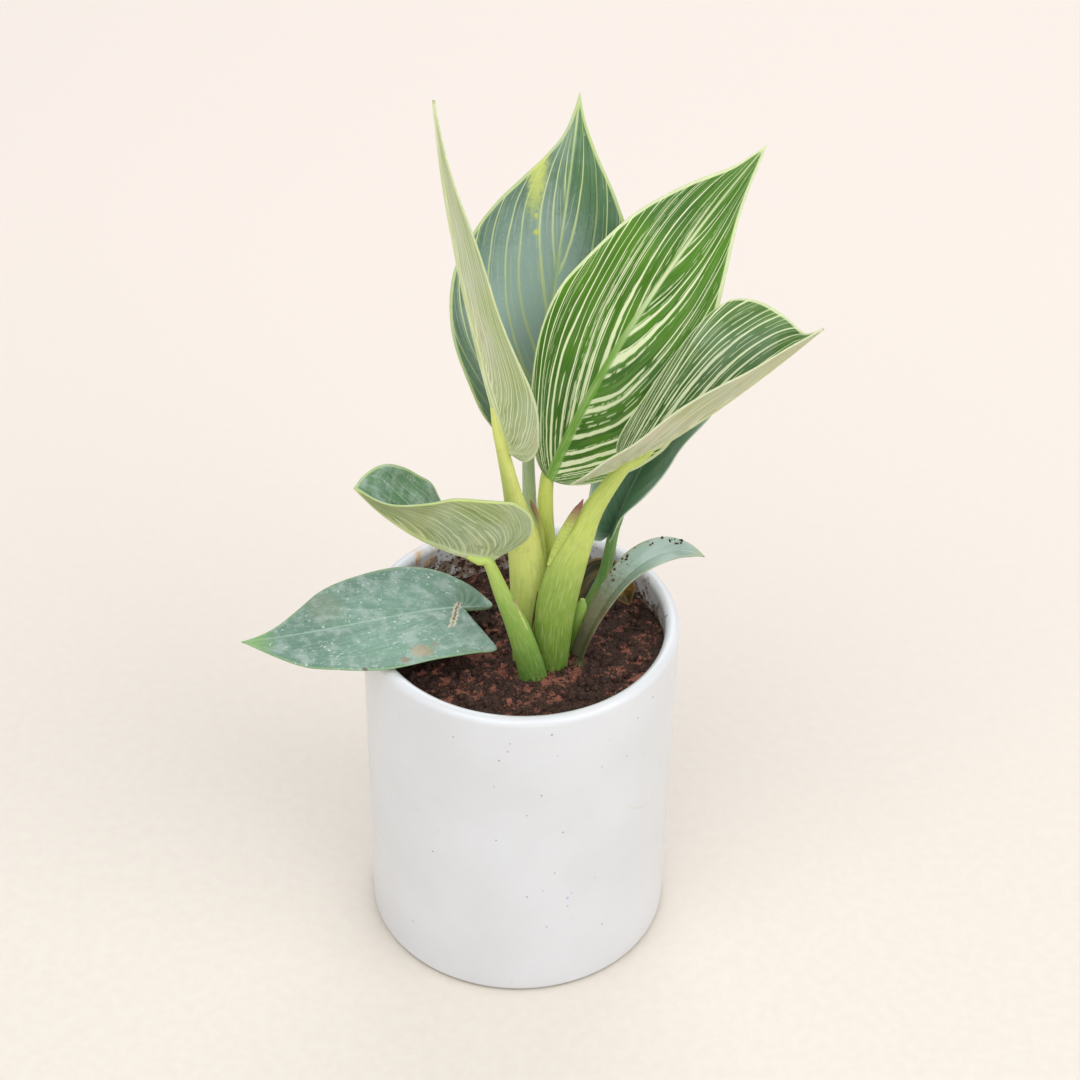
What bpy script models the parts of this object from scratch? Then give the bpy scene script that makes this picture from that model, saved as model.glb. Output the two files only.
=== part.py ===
"""A young philodendron in a white ceramic pot: pot, soil, rootstock and ten leaves, each its own solid.

Lengths are written in millimetres and become metres when a mesh is made. +Z is up, and the origin is
the middle of the pot's flat base. The front of the plant looks along -Y.
"""
from math import atan2, cos, pi, radians, sin

import bmesh
import bpy
import numpy as np
from mathutils import Vector, noise

MM = 0.001
GAP = 0.3

# Pot
POT_RADIUS = 50.0
POT_FOOT_RADIUS = 49.4
POT_HEIGHT = 119.0
POT_WALL = 4.6
POT_FLOOR = 7.0
FOOT_ROUND = 2.2
RIM_ROUND = 2.3
INSIDE_ROUND = 7.0
POT_SIDES = 48

# Soil
SOIL_MIDDLE = 107.5
SOIL_SLOPE_X = 0.06
SOIL_SLOPE_Y = -0.11
SOIL_LUMP = 0.9
SOIL_LUMP_SIZE = 7.0
SOIL_RINGS = 8

# Rootstock
CROWN_MIDDLE = np.array([9.0, -9.0])
CROWN_TOP = 107.7
CROWN_FOOT = 88.0
CROWN_MARGIN = 0.6
CROWN_TAPER = 0.72
ROOT_COUNT = 7
ROOT_REACH = 27.0
ROOT_DEPTH = 62.0
ROOT_RADIUS = 1.5
ROOT_TIP = 0.6
HOLE_GAP = 0.55

# Leaves
FOOT = CROWN_TOP + GAP
BLADE = 0.8
CREASE = 3.0
FAN_END = 0.22
VEIN_SWEEP = 2.2

# Blade grids: veins in a half, and the places of its rows from midrib to margin.
LARGE = (15, (0, 0.1, 0.38, 0.7, 1))
SMALL = (11, (0, 0.14, 0.55, 1))

# Half outlines of a blade: along the midrib in lengths, beside it in half widths, and how much of the
# lobe depth pulls the point back behind the stalk.
BROAD = [(0, 0, 0), (0, 0.2, 0.7), (0.03, 0.45, 1), (0.08, 0.67, 0.8), (0.15, 0.85, 0.45),
         (0.24, 0.96, 0.15), (0.34, 1, 0), (0.48, 0.94, 0), (0.63, 0.78, 0), (0.77, 0.5, 0),
         (0.88, 0.23, 0), (0.95, 0.08, 0), (1, 0, 0)]
SHOULDER = [(0, 0, 0), (0, 0.2, 0.7), (0.03, 0.45, 1), (0.08, 0.67, 0.8), (0.15, 0.85, 0.45),
            (0.24, 0.96, 0.15), (0.34, 1, 0), (0.48, 0.97, 0), (0.58, 0.83, 0), (0.66, 0.66, 0),
            (0.73, 0.46, 0), (0.8, 0.26, 0), (0.87, 0.11, 0), (0.94, 0.04, 0), (1, 0, 0)]
DRAWN = [(0, 0, 0), (0, 0.2, 0.7), (0.03, 0.45, 1), (0.08, 0.67, 0.8), (0.15, 0.85, 0.45),
         (0.24, 0.96, 0.15), (0.34, 1, 0), (0.48, 0.92, 0), (0.6, 0.76, 0), (0.72, 0.52, 0),
         (0.82, 0.28, 0), (0.9, 0.12, 0), (0.95, 0.05, 0), (1, 0, 0)]
SLENDER = [(0, 0, 0), (0, 0.2, 0.7), (0.03, 0.45, 1), (0.08, 0.67, 0.8), (0.15, 0.87, 0.45),
           (0.24, 1, 0.15), (0.34, 0.96, 0), (0.48, 0.86, 0), (0.6, 0.7, 0), (0.72, 0.5, 0),
           (0.82, 0.31, 0), (0.9, 0.17, 0), (0.95, 0.09, 0), (1, 0, 0)]
FULL = [(0, 0, 0), (0, 0.2, 0.7), (0.03, 0.45, 1), (0.08, 0.67, 0.8), (0.15, 0.85, 0.45),
        (0.24, 0.96, 0.15), (0.34, 1, 0), (0.48, 0.97, 0), (0.63, 0.85, 0), (0.77, 0.62, 0),
        (0.88, 0.36, 0), (0.95, 0.15, 0), (1, 0, 0)]
BLUNT = [(0, 0, 0), (0, 0.2, 0.7), (0.03, 0.45, 1), (0.08, 0.67, 0.8), (0.15, 0.85, 0.45),
         (0.24, 0.96, 0.15), (0.34, 1, 0), (0.5, 0.95, 0), (0.66, 0.82, 0), (0.8, 0.66, 0),
         (0.9, 0.47, 0), (0.97, 0.22, 0), (1, 0, 0)]
ROLLED = [(0, 0, 0), (0.02, 0.15, 0), (0.06, 0.36, 0), (0.12, 0.6, 0), (0.2, 0.82, 0), (0.3, 0.96, 0),
          (0.4, 1, 0), (0.5, 0.9, 0), (0.63, 0.66, 0), (0.77, 0.37, 0), (0.88, 0.13, 0),
          (0.95, 0.045, 0), (1, 0, 0)]
HOODED = [(0, 0, 0), (0.02, 0.2, 0), (0.08, 0.36, 0), (0.2, 0.52, 0), (0.4, 0.74, 0), (0.6, 0.9, 0),
          (0.74, 0.93, 0), (0.83, 0.75, 0), (0.885, 0.45, 0), (0.92, 0.13, 0), (0.95, 0.04, 0), (1, 0, 0)]
EARED = [(0, 0, 0), (-0.08, 0.18, 0), (-0.15, 0.5, 0), (-0.12, 0.8, 0), (0, 0.98, 0), (0.12, 1, 0),
         (0.3, 0.93, 0), (0.5, 0.8, 0), (0.7, 0.55, 0), (0.86, 0.27, 0), (0.95, 0.1, 0), (1, 0, 0)]
FLAT_NEAR = [(0, 0, 0), (-0.03, 0.45, 0), (-0.055, 0.82, 0), (-0.03, 0.94, 0), (0.07, 0.97, 0), (0.25, 1, 0),
             (0.45, 0.99, 0), (0.65, 0.83, 0), (0.82, 0.5, 0), (0.92, 0.2, 0), (1, 0, 0)]
FLAT_FAR = [(0, 0, 0), (-0.08, 0.01, 0), (-0.15, 0.05, 0), (-0.13, 0.24, 0), (-0.04, 0.62, 0),
            (0.08, 0.88, 0), (0.25, 1, 0), (0.45, 0.94, 0), (0.6, 0.76, 0), (0.72, 0.5, 0),
            (0.82, 0.25, 0), (0.91, 0.09, 0), (1, 0, 0)]
STRAP = [(0, 0, 0), (0, 0.45, 0), (0.04, 0.55, 0), (0.15, 0.58, 0), (0.35, 0.72, 0), (0.6, 1, 0),
         (0.78, 0.85, 0), (0.9, 0.45, 0), (1, 0, 0)]

# Each leaf: midrib (four Bezier points, base to tip), upper-side hints from base to tip, half widths,
# fold of each half above flat and its further curl in degrees (base, middle, tip), lobe depth and belly
# of each half, outlines (left and right of the upper side, tip up), grid, and the stalk's stations:
# x, y, z, half width, half thickness.
LEAVES = {
    "leaf_left_tall": dict(
        midrib=[(-4.3, -10, 191), (-13, -8, 223), (-23, 0, 262), (-26, 10, 294.5)],
        up=[(0.97, 0.2, 0.2), (0.97, 0.2, 0.3), (0.97, 0.2, 0.4)], half=(24, 15),
        fold=[(25, 12, 12), (8, 5, -5)], curl=[(15, 15, 15), (5, 5, 5)],
        lobe=(0.03, 0), belly=(-0.1, 0), outline=(BROAD, BROAD), grid=LARGE, rib=1.5,
        stalk=[(2.5, -9.5, FOOT, 5.0, 2.4), (2, -10, 135, 5.4, 2.5), (1.2, -10, 154, 5.6, 2.5),
               (-2.9, -10, 174, 2.9, 2.2)]),
    "leaf_back": dict(
        midrib=[(1.3, 16, 171.5), (6, 24, 207), (12, 38, 247), (14.6, 52.2, 276)],
        up=[(0, -0.95, 0.3), (0, -0.95, 0.35), (0, -0.9, 0.3)], half=(32.5, 28),
        fold=[(58, 12, 5), (52, 12, 8)], curl=[(20, 12, 8), (20, 12, 8)],
        lobe=(-0.02, -0.02), belly=(0.12, 0.1), outline=(SHOULDER, DRAWN), grid=LARGE, rib=1.4,
        stalk=[(5, -3, FOOT, 3.0, 2.0), (4, 2, 125, 2.6, 2.0), (2, 11, 155, 2.2, 2.0)]),
    "leaf_centre": dict(
        midrib=[(7.4, -4, 176.2), (19.2, 4, 207.5), (43.2, 20, 242), (69.1, 35.3, 268.9)],
        up=[(0.15, -0.85, 0.45), (0.2, -0.85, 0.45), (0.1, -0.85, 0.5)], half=(30.5, 28),
        fold=[(38, 16, 4), (3, 24, 46)], curl=[(20, 20, 5), (10, 15, 20)],
        lobe=(0.05, 0), belly=(0.2, 0), outline=(ROLLED, SLENDER), grid=LARGE, rib=1.6,
        stalk=[(11.8, -6.8, FOOT, 3.1, 2.2), (9.8, -5.6, 135, 2.9, 2.2), (7, -4.6, 160, 2.6, 2.2)]),
    "leaf_right": dict(
        midrib=[(28.4, -15, 190.2), (47, -14, 201), (66, -15, 220), (83.8, -15, 238.7)],
        up=[(-0.3, -0.1, 0.95), (-0.25, -0.05, 0.95), (-0.2, 0, 0.95)], half=(25, 20),
        fold=[(75, 52, 30), (38, 38, 38)], curl=[(20, 20, 15), (22, 20, 10)],
        lobe=(0, 0.22), belly=(0, 0), outline=(HOODED, FULL), grid=LARGE, rib=1.6,
        stalk=[(10, -14.5, FOOT, 4.6, 2.2), (10, -15, 123, 5.6, 2.4), (10.7, -15, 136, 6.2, 2.4),
               (13.2, -14.6, 148.7, 5.9, 2.4), (16.5, -14, 161, 5.1, 2.2), (21.3, -13.8, 173, 3.3, 2.1)]),
    "leaf_left_cupped": dict(
        midrib=[(-9.4, -22, 159.6), (-20, -26, 164), (-36, -32, 176), (-47.7, -35, 194.7)],
        up=[(0.1, 0.2, 0.95), (0.1, 0.2, 0.95), (0.6, 0.2, 0.7)], half=(22, 19),
        fold=[(60, 56, 32), (0, 30, 40)], curl=[(30, 30, 15), (20, 30, 30)],
        lobe=(0, 0.1), belly=(0, 0.5), outline=(EARED, BLUNT), grid=SMALL, rib=1.3,
        stalk=[(4.5, -18.5, FOOT, 4.6, 2.3), (2.6, -19.4, 118, 4.2, 2.3), (-1, -20.5, 132, 3.6, 2.2),
               (-5.5, -21.5, 145, 2.6, 2.1)]),
    "leaf_on_rim": dict(
        midrib=[(-19, 8.2, 115.5), (-33, 3, 119.6), (-62, -15, 122.2), (-86.1, -18.4, 122)],
        up=[(0, 0, 1), (0, 0, 1), (0, -0.15, 1)], half=(25.5, 20),
        fold=[(0, 0, 5), (8, 8, 5)], curl=[(5, 5, 5), (5, 5, 5)],
        lobe=(0, 0), belly=(0, 0), outline=(FLAT_NEAR, FLAT_FAR), grid=SMALL, rib=1.1, foot_flat=False,
        stalk=[(-1.4, -3.6, 94.5, 1.9, 1.7), (-6, -0.3, 97, 1.9, 1.7), (-11, 3.2, 101.5, 1.9, 1.7),
               (-16, 6.5, 107.5, 1.9, 1.7), (-18.5, 8, 112, 1.9, 1.7)]),
    "leaf_back_right": dict(
        midrib=[(27.7, 8, 146.8), (35, 14, 168), (47, 20, 190), (61, 26, 208)],
        up=[(-0.3, -0.8, 0.5), (-0.3, -0.8, 0.5), (-0.3, -0.8, 0.5)], half=(20, 19),
        fold=[(64, 40, 15), (70, 45, 15)], curl=[(20, 20, 10), (20, 20, 10)],
        lobe=(0.05, 0.03), belly=(0.2, 0.4), outline=(BROAD, BROAD), grid=SMALL, rib=1.3,
        stalk=[(14, -2, FOOT, 2.3, 2.0), (21, 2, 122.2, 2.1, 1.9), (25.8, 6, 132.6, 1.9, 1.9)]),
    "leaf_right_strap": dict(
        midrib=[(18.4, -13, 114), (22.5, -11, 130), (37, -2, 157), (56.8, 4, 141.3)],
        up=[(-0.5, -0.4, 0.6), (-0.4, -0.3, 0.9), (0.1, -0.3, 1)], half=(6, 5),
        fold=[(20, 20, 10), (20, 20, 10)], curl=[(10, 10, 10), (10, 10, 10)],
        lobe=(0, 0), belly=(0, 0), outline=(STRAP, STRAP), grid=SMALL, rib=0.7, narrow=True,
        stalk=[(17.8, -13.2, FOOT, 3.1, 1.3)]),
    "leaf_withered": dict(
        midrib=[(16.6, 6, 113), (18.5, 11, 128), (27, 17, 136), (34.5, 15, 112)],
        up=[(-0.2, -0.9, 0.2), (-0.2, -0.9, 0.3), (0, -0.9, 0.2)], half=(6, 6),
        fold=[(20, 20, 20), (20, 20, 20)], curl=[(10, 10, 10), (10, 10, 10)],
        lobe=(0, 0), belly=(0, 0), outline=(STRAP, STRAP), grid=SMALL, rib=0.5, narrow=True,
        stalk=[(16, 4.5, FOOT, 2.2, 1.1)]),
    "leaf_bud": dict(
        stalk=[(17.8, -6.6, FOOT, 2.2, 1.7), (18, -6.6, 118, 2.2, 1.6), (18.6, -6.6, 128, 1.9, 1.3),
               (19, -6.6, 132, 0.7, 0.5)]),
}

COLOURS = {
    "pot": ((0.78, 0.77, 0.75), 0.25),
    "soil": ((0.07, 0.03, 0.022), 0.95),
    "rootstock": ((0.30, 0.22, 0.12), 0.8),
    "leaf_left_tall": ((0.36, 0.42, 0.20), 0.5),
    "leaf_back": ((0.10, 0.20, 0.13), 0.4),
    "leaf_centre": ((0.09, 0.22, 0.05), 0.4),
    "leaf_right": ((0.13, 0.24, 0.10), 0.4),
    "leaf_left_cupped": ((0.26, 0.32, 0.15), 0.5),
    "leaf_on_rim": ((0.12, 0.22, 0.17), 0.5),
    "leaf_back_right": ((0.06, 0.13, 0.06), 0.4),
    "leaf_right_strap": ((0.20, 0.24, 0.15), 0.6),
    "leaf_withered": ((0.14, 0.10, 0.04), 0.8),
    "leaf_bud": ((0.25, 0.40, 0.08), 0.5),
}


def clear_scene():
    for old in list(bpy.data.objects):
        bpy.data.objects.remove(old, do_unlink=True)


def coat(name):
    """The node's own Principled material."""
    colour, rough = COLOURS[name]
    skin = bpy.data.materials.new(name)
    skin.use_nodes = True
    shader = skin.node_tree.nodes["Principled BSDF"]
    shader.inputs["Base Color"].default_value = (*colour, 1)
    shader.inputs["Roughness"].default_value = rough
    shader.inputs["Metallic"].default_value = 0
    return skin


def add_object(name, points, faces):
    """A closed mesh from points in millimetres, with its faces turned outwards."""
    mesh = bpy.data.meshes.new(name)
    mesh.from_pydata([Vector(p) * MM for p in points], [], faces)
    bm = bmesh.new()
    bm.from_mesh(mesh)
    bmesh.ops.remove_doubles(bm, verts=bm.verts, dist=0.02 * MM)
    bmesh.ops.dissolve_degenerate(bm, edges=bm.edges, dist=0.001 * MM)
    bmesh.ops.recalc_face_normals(bm, faces=bm.faces)
    bm.to_mesh(mesh)
    bm.free()
    made = bpy.data.objects.new(name, mesh)
    bpy.context.scene.collection.objects.link(made)
    return made


def finish(made, smooth=40):
    """Gives a finished solid its material and its shading."""
    made.data.materials.clear()
    made.data.materials.append(coat(made.name))
    made.data.shade_smooth()
    made.data.set_sharp_from_angle(angle=radians(smooth))


def combine(made, others, operation):
    """One exact Boolean with a collection of other solids, applied, after which they are removed."""
    group = bpy.data.collections.new(made.name + "_parts")
    for other in others:
        group.objects.link(other)
    cut = made.modifiers.new("combine", "BOOLEAN")
    cut.operand_type = "COLLECTION"
    cut.collection = group
    cut.operation = operation
    cut.solver = "EXACT"
    cut.use_self = True
    bpy.context.view_layer.update()
    whole = made.evaluated_get(bpy.context.evaluated_depsgraph_get())
    mesh = bpy.data.meshes.new_from_object(whole)
    made.modifiers.clear()
    made.data = mesh
    for other in others:
        bpy.data.objects.remove(other, do_unlink=True)
    bpy.data.collections.remove(group)
    bm = bmesh.new()
    bm.from_mesh(mesh)
    bmesh.ops.remove_doubles(bm, verts=bm.verts, dist=0.005 * MM)
    bmesh.ops.dissolve_degenerate(bm, edges=bm.edges, dist=0.001 * MM)
    bmesh.ops.triangulate(bm, faces=bm.faces)
    bm.to_mesh(mesh)
    bm.free()


def unit(vector):
    return vector / np.linalg.norm(vector)


def spline(rows, t):
    """Catmull-Rom curve through rows of numbers, with t from 0 to 1 along its chords."""
    rows = np.asarray(rows, float)
    ends = np.vstack([2 * rows[0] - rows[1], rows, 2 * rows[-1] - rows[-2]])
    chord = np.linalg.norm(np.diff(rows, axis=0), axis=1)
    reach = np.concatenate([[0], np.cumsum(chord)]) / chord.sum()
    i = min(max(int(np.searchsorted(reach, t, side="right")) - 1, 0), len(chord) - 1)
    u = (t - reach[i]) / (reach[i + 1] - reach[i])
    a, b, c, d = ends[i:i + 4]
    return 0.5 * (2 * b + (c - a) * u + (2 * a - 5 * b + 4 * c - d) * u * u + (3 * b - a - 3 * c + d) * u ** 3)


def keyed(keys, x):
    """The value at x, from 0 to 1, eased between evenly spaced keys."""
    place = min(max(x, 0), 1) * (len(keys) - 1)
    i = min(int(place), len(keys) - 2)
    u = place - i
    ease = u * u * (3 - 2 * u)
    return np.asarray(keys[i], float) * (1 - ease) + np.asarray(keys[i + 1], float) * ease


class Blade:
    """The middle surface of a leaf blade: a flat outline with veins, bent along its midrib."""

    def __init__(self, spec):
        self.spec = spec
        self.bezier = np.asarray(spec["midrib"], float)
        self.steps = np.linspace(0, 1, 101)
        line = np.array([self.curve(t) for t in self.steps])
        run = np.concatenate([[0], np.cumsum(np.linalg.norm(np.diff(line, axis=0), axis=1))])
        self.length = run[-1]
        self.run = run / run[-1]
        self.first = {side: self.hindmost(side) for side in (-1, 1)}

    def curve(self, t):
        a, b, c, d = self.bezier
        s = 1 - t
        return s ** 3 * a + 3 * s * s * t * b + 3 * s * t * t * c + t ** 3 * d

    def slope(self, t):
        a, b, c, d = self.bezier
        s = 1 - t
        return unit(s * s * (b - a) + 2 * s * t * (c - b) + t * t * (d - c))

    def frame(self, x):
        """Point, forward, upper side and right-hand direction at x lengths along the midrib."""
        held = min(max(x, 0), 1)
        t = float(np.interp(held, self.run, self.steps))
        forward = self.slope(t)
        point = self.curve(t) + forward * (x - held) * self.length
        hint = keyed(self.spec["up"], held)
        up = unit(hint - (hint @ forward) * forward)
        return point, forward, up, np.cross(forward, up)

    def margin(self, side, t):
        """Flat place on the outline, from 0 at the stalk to 1 at the tip, in lengths of the midrib."""
        half = 0 if side < 0 else 1
        x, y, back = spline(self.spec["outline"][half], t)
        x -= back * self.spec["lobe"][half]
        if x > 0:
            x += self.spec["belly"][half] * x * (1 - x)
        return x, max(y, 0) * self.spec["half"][half] / self.length

    def hindmost(self, side):
        """Where the outline leans back the most from the stalk. The half's mesh starts there."""
        places = [0.02 * k for k in range(1, 18)]
        angles = [atan2(*self.margin(side, t)[::-1]) for t in places]
        return places[angles.index(max(angles))]

    def vein(self, side, b, r):
        """Flat place on vein b, from 0 at the back to 1 at the tip, and r from midrib to margin."""
        first = self.first[side]
        end_x, end_y = self.margin(side, first + (1 - first) * b)
        if self.spec.get("narrow"):
            start = max(end_x, 0)
        else:
            start = max((b - FAN_END) / (1 - FAN_END), 0) ** VEIN_SWEEP
        return start + (end_x - start) * r, end_y * r

    def surface(self, side, x, y):
        """Place of a flat point once its half is folded and curled about the midrib."""
        half = 0 if side < 0 else 1
        point, _, up, right = self.frame(x)
        out = y * self.length
        fold = radians(float(keyed(self.spec["fold"][half], x)))
        curl = radians(float(keyed(self.spec["curl"][half], x))) / self.spec["half"][half]
        across = (sin(fold + curl * out) - sin(fold)) / curl
        rise = (cos(fold) - cos(fold + curl * out)) / curl
        return point + right * side * across + up * rise

    def normal(self, side, x, y):
        step = 0.002
        ahead = self.surface(side, x + step, y) - self.surface(side, x - step, y)
        aside = self.surface(side, x, y + step) - self.surface(side, x, y)
        return unit(np.cross(ahead, aside * side) * -1)

    def skin(self, side, b, r):
        """Lower and upper point of the blade on vein b at r, with the midrib's ridge below."""
        x, y = self.vein(side, b, r)
        middle = self.surface(side, x, y)
        up = self.frame(x)[2]
        if y < 1e-6:
            ridge = self.spec["rib"] * (1 - 0.75 * x)
            return middle - up * (BLADE / 2 + ridge), middle + up * BLADE / 2
        share = min(y * self.length / CREASE, 1)
        out = unit(self.normal(side, x, y) * share + up * (1 - share))
        return middle - out * BLADE / 2, middle + out * BLADE / 2


def blade_solid(name, blade):
    """Both faces of a blade, split into the same triangles, and the wall round its margin."""
    veins, places = blade.spec["grid"]
    rows = len(places) - 1
    points = []
    faces = []
    for side in (-1, 1):
        first = len(points)
        for i in range(veins + 1):
            for place in places:
                points.extend(blade.skin(side, i / veins, place))

        def corner(i, j, layer):
            return first + 2 * (i * (rows + 1) + j) + layer

        for i in range(veins):
            for j in range(rows):
                for layer in (0, 1):
                    a, b = corner(i, j, layer), corner(i + 1, j, layer)
                    c, d = corner(i + 1, j + 1, layer), corner(i, j + 1, layer)
                    if i == veins - 1:
                        faces.append((a, b, d))
                    else:
                        faces += [(a, b, c), (a, c, d)]
        edge = [(0, j) for j in range(rows + 1)] + [(i, rows) for i in range(1, veins + 1)]
        for (i, j), (m, n) in zip(edge, edge[1:]):
            low, high = corner(i, j, 0), corner(i, j, 1)
            next_low, next_high = corner(m, n, 0), corner(m, n, 1)
            faces += [(low, next_low, next_high), (low, next_high, high)]
    return add_object(name, points, faces)


def tube(name, stations, rings, sides, flat_foot, hint=(0, -1, 0), grow=0):
    """A closed tube of oval rings through stations of x, y, z, half width and half thickness.

    It can be grown by a length on every side, for the hole that it stands in.
    """
    hint = np.asarray(hint, float)
    points = []
    for k in range(rings + 1):
        t = k / rings
        row = spline(stations, t)
        forward = unit(spline(stations, min(t + 0.01, 1))[:3] - spline(stations, max(t - 0.01, 0))[:3])
        if k == 0 and flat_foot:
            forward = np.array([0.0, 0.0, 1.0])
        front = unit(hint - (hint @ forward) * forward)
        right = np.cross(forward, front)
        middle = row[:3] + forward * grow * ((k == rings) - (k == 0))
        for s in range(sides):
            turn = 2 * pi * s / sides
            points.append(middle + right * (row[3] + grow) * cos(turn) + front * (row[4] + grow) * sin(turn))
    faces = [tuple(range(sides)), tuple(range(rings * sides, (rings + 1) * sides))]
    for k in range(rings):
        for s in range(sides):
            after = (s + 1) % sides
            a, b = k * sides + s, k * sides + after
            faces.append((a, b, b + sides, a + sides))
    return add_object(name, points, faces)


def stalk_stations(spec):
    """The stalk's stations, carried on a little way under the midrib, where it runs out."""
    stations = list(spec["stalk"])
    if "midrib" not in spec:
        return stations
    blade = Blade(spec)
    for x, share in ((0, 1.3), (0.06, 1.1), (0.14, 0.6)):
        point, _, up, _ = blade.frame(x)
        thick = spec["rib"] * share
        stations.append((*(point - up * thick * 0.7), thick, thick))
    return stations


def leaf(name, spec):
    rings = 2 * len(spec["stalk"]) + 8
    rod = tube(name + "_rod", stalk_stations(spec), rings, 8, spec.get("foot_flat", True))
    if "midrib" not in spec:
        rod.name = name
        finish(rod)
        return
    blade = blade_solid(name, Blade(spec))
    combine(blade, [rod], "UNION")
    finish(blade)


def turned(name, profile, sides):
    """A solid of revolution: profile points (radius, height) from the axis below to the axis above."""
    points = []
    for radius, height in profile:
        for s in range(sides):
            turn = 2 * pi * s / sides
            points.append((radius * cos(turn), radius * sin(turn), height))
    faces = [tuple(range(sides)), tuple(range(len(points) - sides, len(points)))]
    for k in range(len(profile) - 1):
        for s in range(sides):
            a, b = k * sides + s, k * sides + (s + 1) % sides
            faces.append((a, b, b + sides, a + sides))
    return add_object(name, points, faces)


def arc(middle, radius, start, end, steps):
    """Profile points on a round corner, with its angles in degrees."""
    turns = [radians(start + (end - start) * k / steps) for k in range(steps + 1)]
    return [(middle[0] + radius * cos(turn), middle[1] + radius * sin(turn)) for turn in turns]


def pot():
    inner = POT_RADIUS - POT_WALL
    profile = arc((POT_FOOT_RADIUS - FOOT_ROUND, FOOT_ROUND), FOOT_ROUND, -90, 0, 3)
    profile += arc((POT_RADIUS - RIM_ROUND, POT_HEIGHT - RIM_ROUND), RIM_ROUND, 0, 180, 8)
    profile += arc((inner - INSIDE_ROUND, POT_FLOOR + INSIDE_ROUND), INSIDE_ROUND, 0, -90, 3)
    finish(turned("pot", profile, POT_SIDES))


def soil_height(x, y):
    """Height of the soil, with its slope and its clods."""
    clods = noise.noise(Vector((x, y, 0)) / SOIL_LUMP_SIZE) + 0.5 * noise.noise(Vector((x, y, 9)) / 3)
    return SOIL_MIDDLE + SOIL_SLOPE_X * x + SOIL_SLOPE_Y * y + SOIL_LUMP * clods


def hull(points):
    """Convex outline round flat points, anticlockwise."""
    ordered = sorted(set((round(float(x), 4), round(float(y), 4)) for x, y in points))

    def cross(o, a, b):
        return (a[0] - o[0]) * (b[1] - o[1]) - (a[1] - o[1]) * (b[0] - o[0])

    def chain(run):
        line = []
        for p in run:
            while len(line) > 1 and cross(line[-2], line[-1], p) <= 0:
                line.pop()
            line.append(p)
        return line[:-1]

    return chain(ordered) + chain(ordered[::-1])


def stalk_outline(margin, height):
    """Outline round all the stalks up to a height above their feet, plus a margin."""
    points = []
    for spec in LEAVES.values():
        if not spec.get("foot_flat", True):
            continue
        stations = stalk_stations(spec)
        for k in range(61):
            row = spline(stations, k / 60)
            if row[2] > FOOT + height:
                break
            for s in range(16):
                turn = 2 * pi * s / 16
                points.append((row[0] + (row[3] + margin) * cos(turn), row[1] + (row[4] + margin) * sin(turn)))
    return thinned(hull(points), 24)


def thinned(outline, count):
    """The outline read again at a number of even angles round its middle."""
    ring = np.asarray(outline)
    middle = ring.mean(axis=0)
    turns = np.unwrap(np.arctan2(ring[:, 1] - middle[1], ring[:, 0] - middle[0]))
    order = np.argsort(turns)
    turns = turns[order]
    reach = np.linalg.norm(ring - middle, axis=1)[order]
    even = turns[0] + 2 * pi * np.arange(count) / count
    radius = np.interp(even, np.append(turns, turns[0] + 2 * pi), np.append(reach, reach[0]))
    return [(middle[0] + r * cos(a), middle[1] + r * sin(a)) for r, a in zip(radius, even)]


def prism(name, outline, levels, grow=0):
    """A closed solid of one outline at several heights, each with its own scale, grown if it is a hole."""
    ring = np.asarray(outline)
    middle = ring.mean(axis=0)
    away = (ring - middle) / np.linalg.norm(ring - middle, axis=1)[:, None]
    points = []
    for k, (height, scale) in enumerate(levels):
        height += grow * ((k == len(levels) - 1) - (k == 0))
        points += [(x, y, height) for x, y in middle + (ring - middle) * scale + away * grow]
    count = len(ring)
    faces = [tuple(range(count)), tuple(range(len(points) - count, len(points)))]
    for k in range(len(levels) - 1):
        for s in range(count):
            a, b = k * count + s, k * count + (s + 1) % count
            faces.append((a, b, b + count, a + count))
    return add_object(name, points, faces)


def root(name, index, grow):
    """One root that leaves the crown's foot, spreads and bends down."""
    turn = 2 * pi * (index + 0.35 * sin(3 * index)) / ROOT_COUNT
    reach = ROOT_REACH * (0.75 + 0.25 * cos(2.1 * index))
    out = np.array([cos(turn), sin(turn)])
    rows = []
    for k, (spread, drop) in enumerate(((0, 0), (0.35, 0.12), (0.75, 0.42), (1, 1))):
        place = CROWN_MIDDLE * (1 - 0.5 * spread) + out * (4 + reach * spread)
        thick = ROOT_RADIUS + (ROOT_TIP - ROOT_RADIUS) * k / 3
        rows.append((*place, CROWN_FOOT + 5 - (ROOT_DEPTH - 4 * (index % 3)) * drop, thick, thick))
    return tube(name, rows, 7, 6, False, hint=(0.31, 0.17, 0.93), grow=grow)


def rootstock_solid(name, grow=0):
    """Crown and roots as one solid, grown on every side if it is a hole."""
    levels = [(CROWN_FOOT, CROWN_TAPER), (CROWN_FOOT + 9, 1), (CROWN_TOP, 1)]
    crown = prism(name, stalk_outline(CROWN_MARGIN, 0.5), levels, grow)
    combine(crown, [root(name + "_root", i, grow) for i in range(ROOT_COUNT)], "UNION")
    return crown


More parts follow.
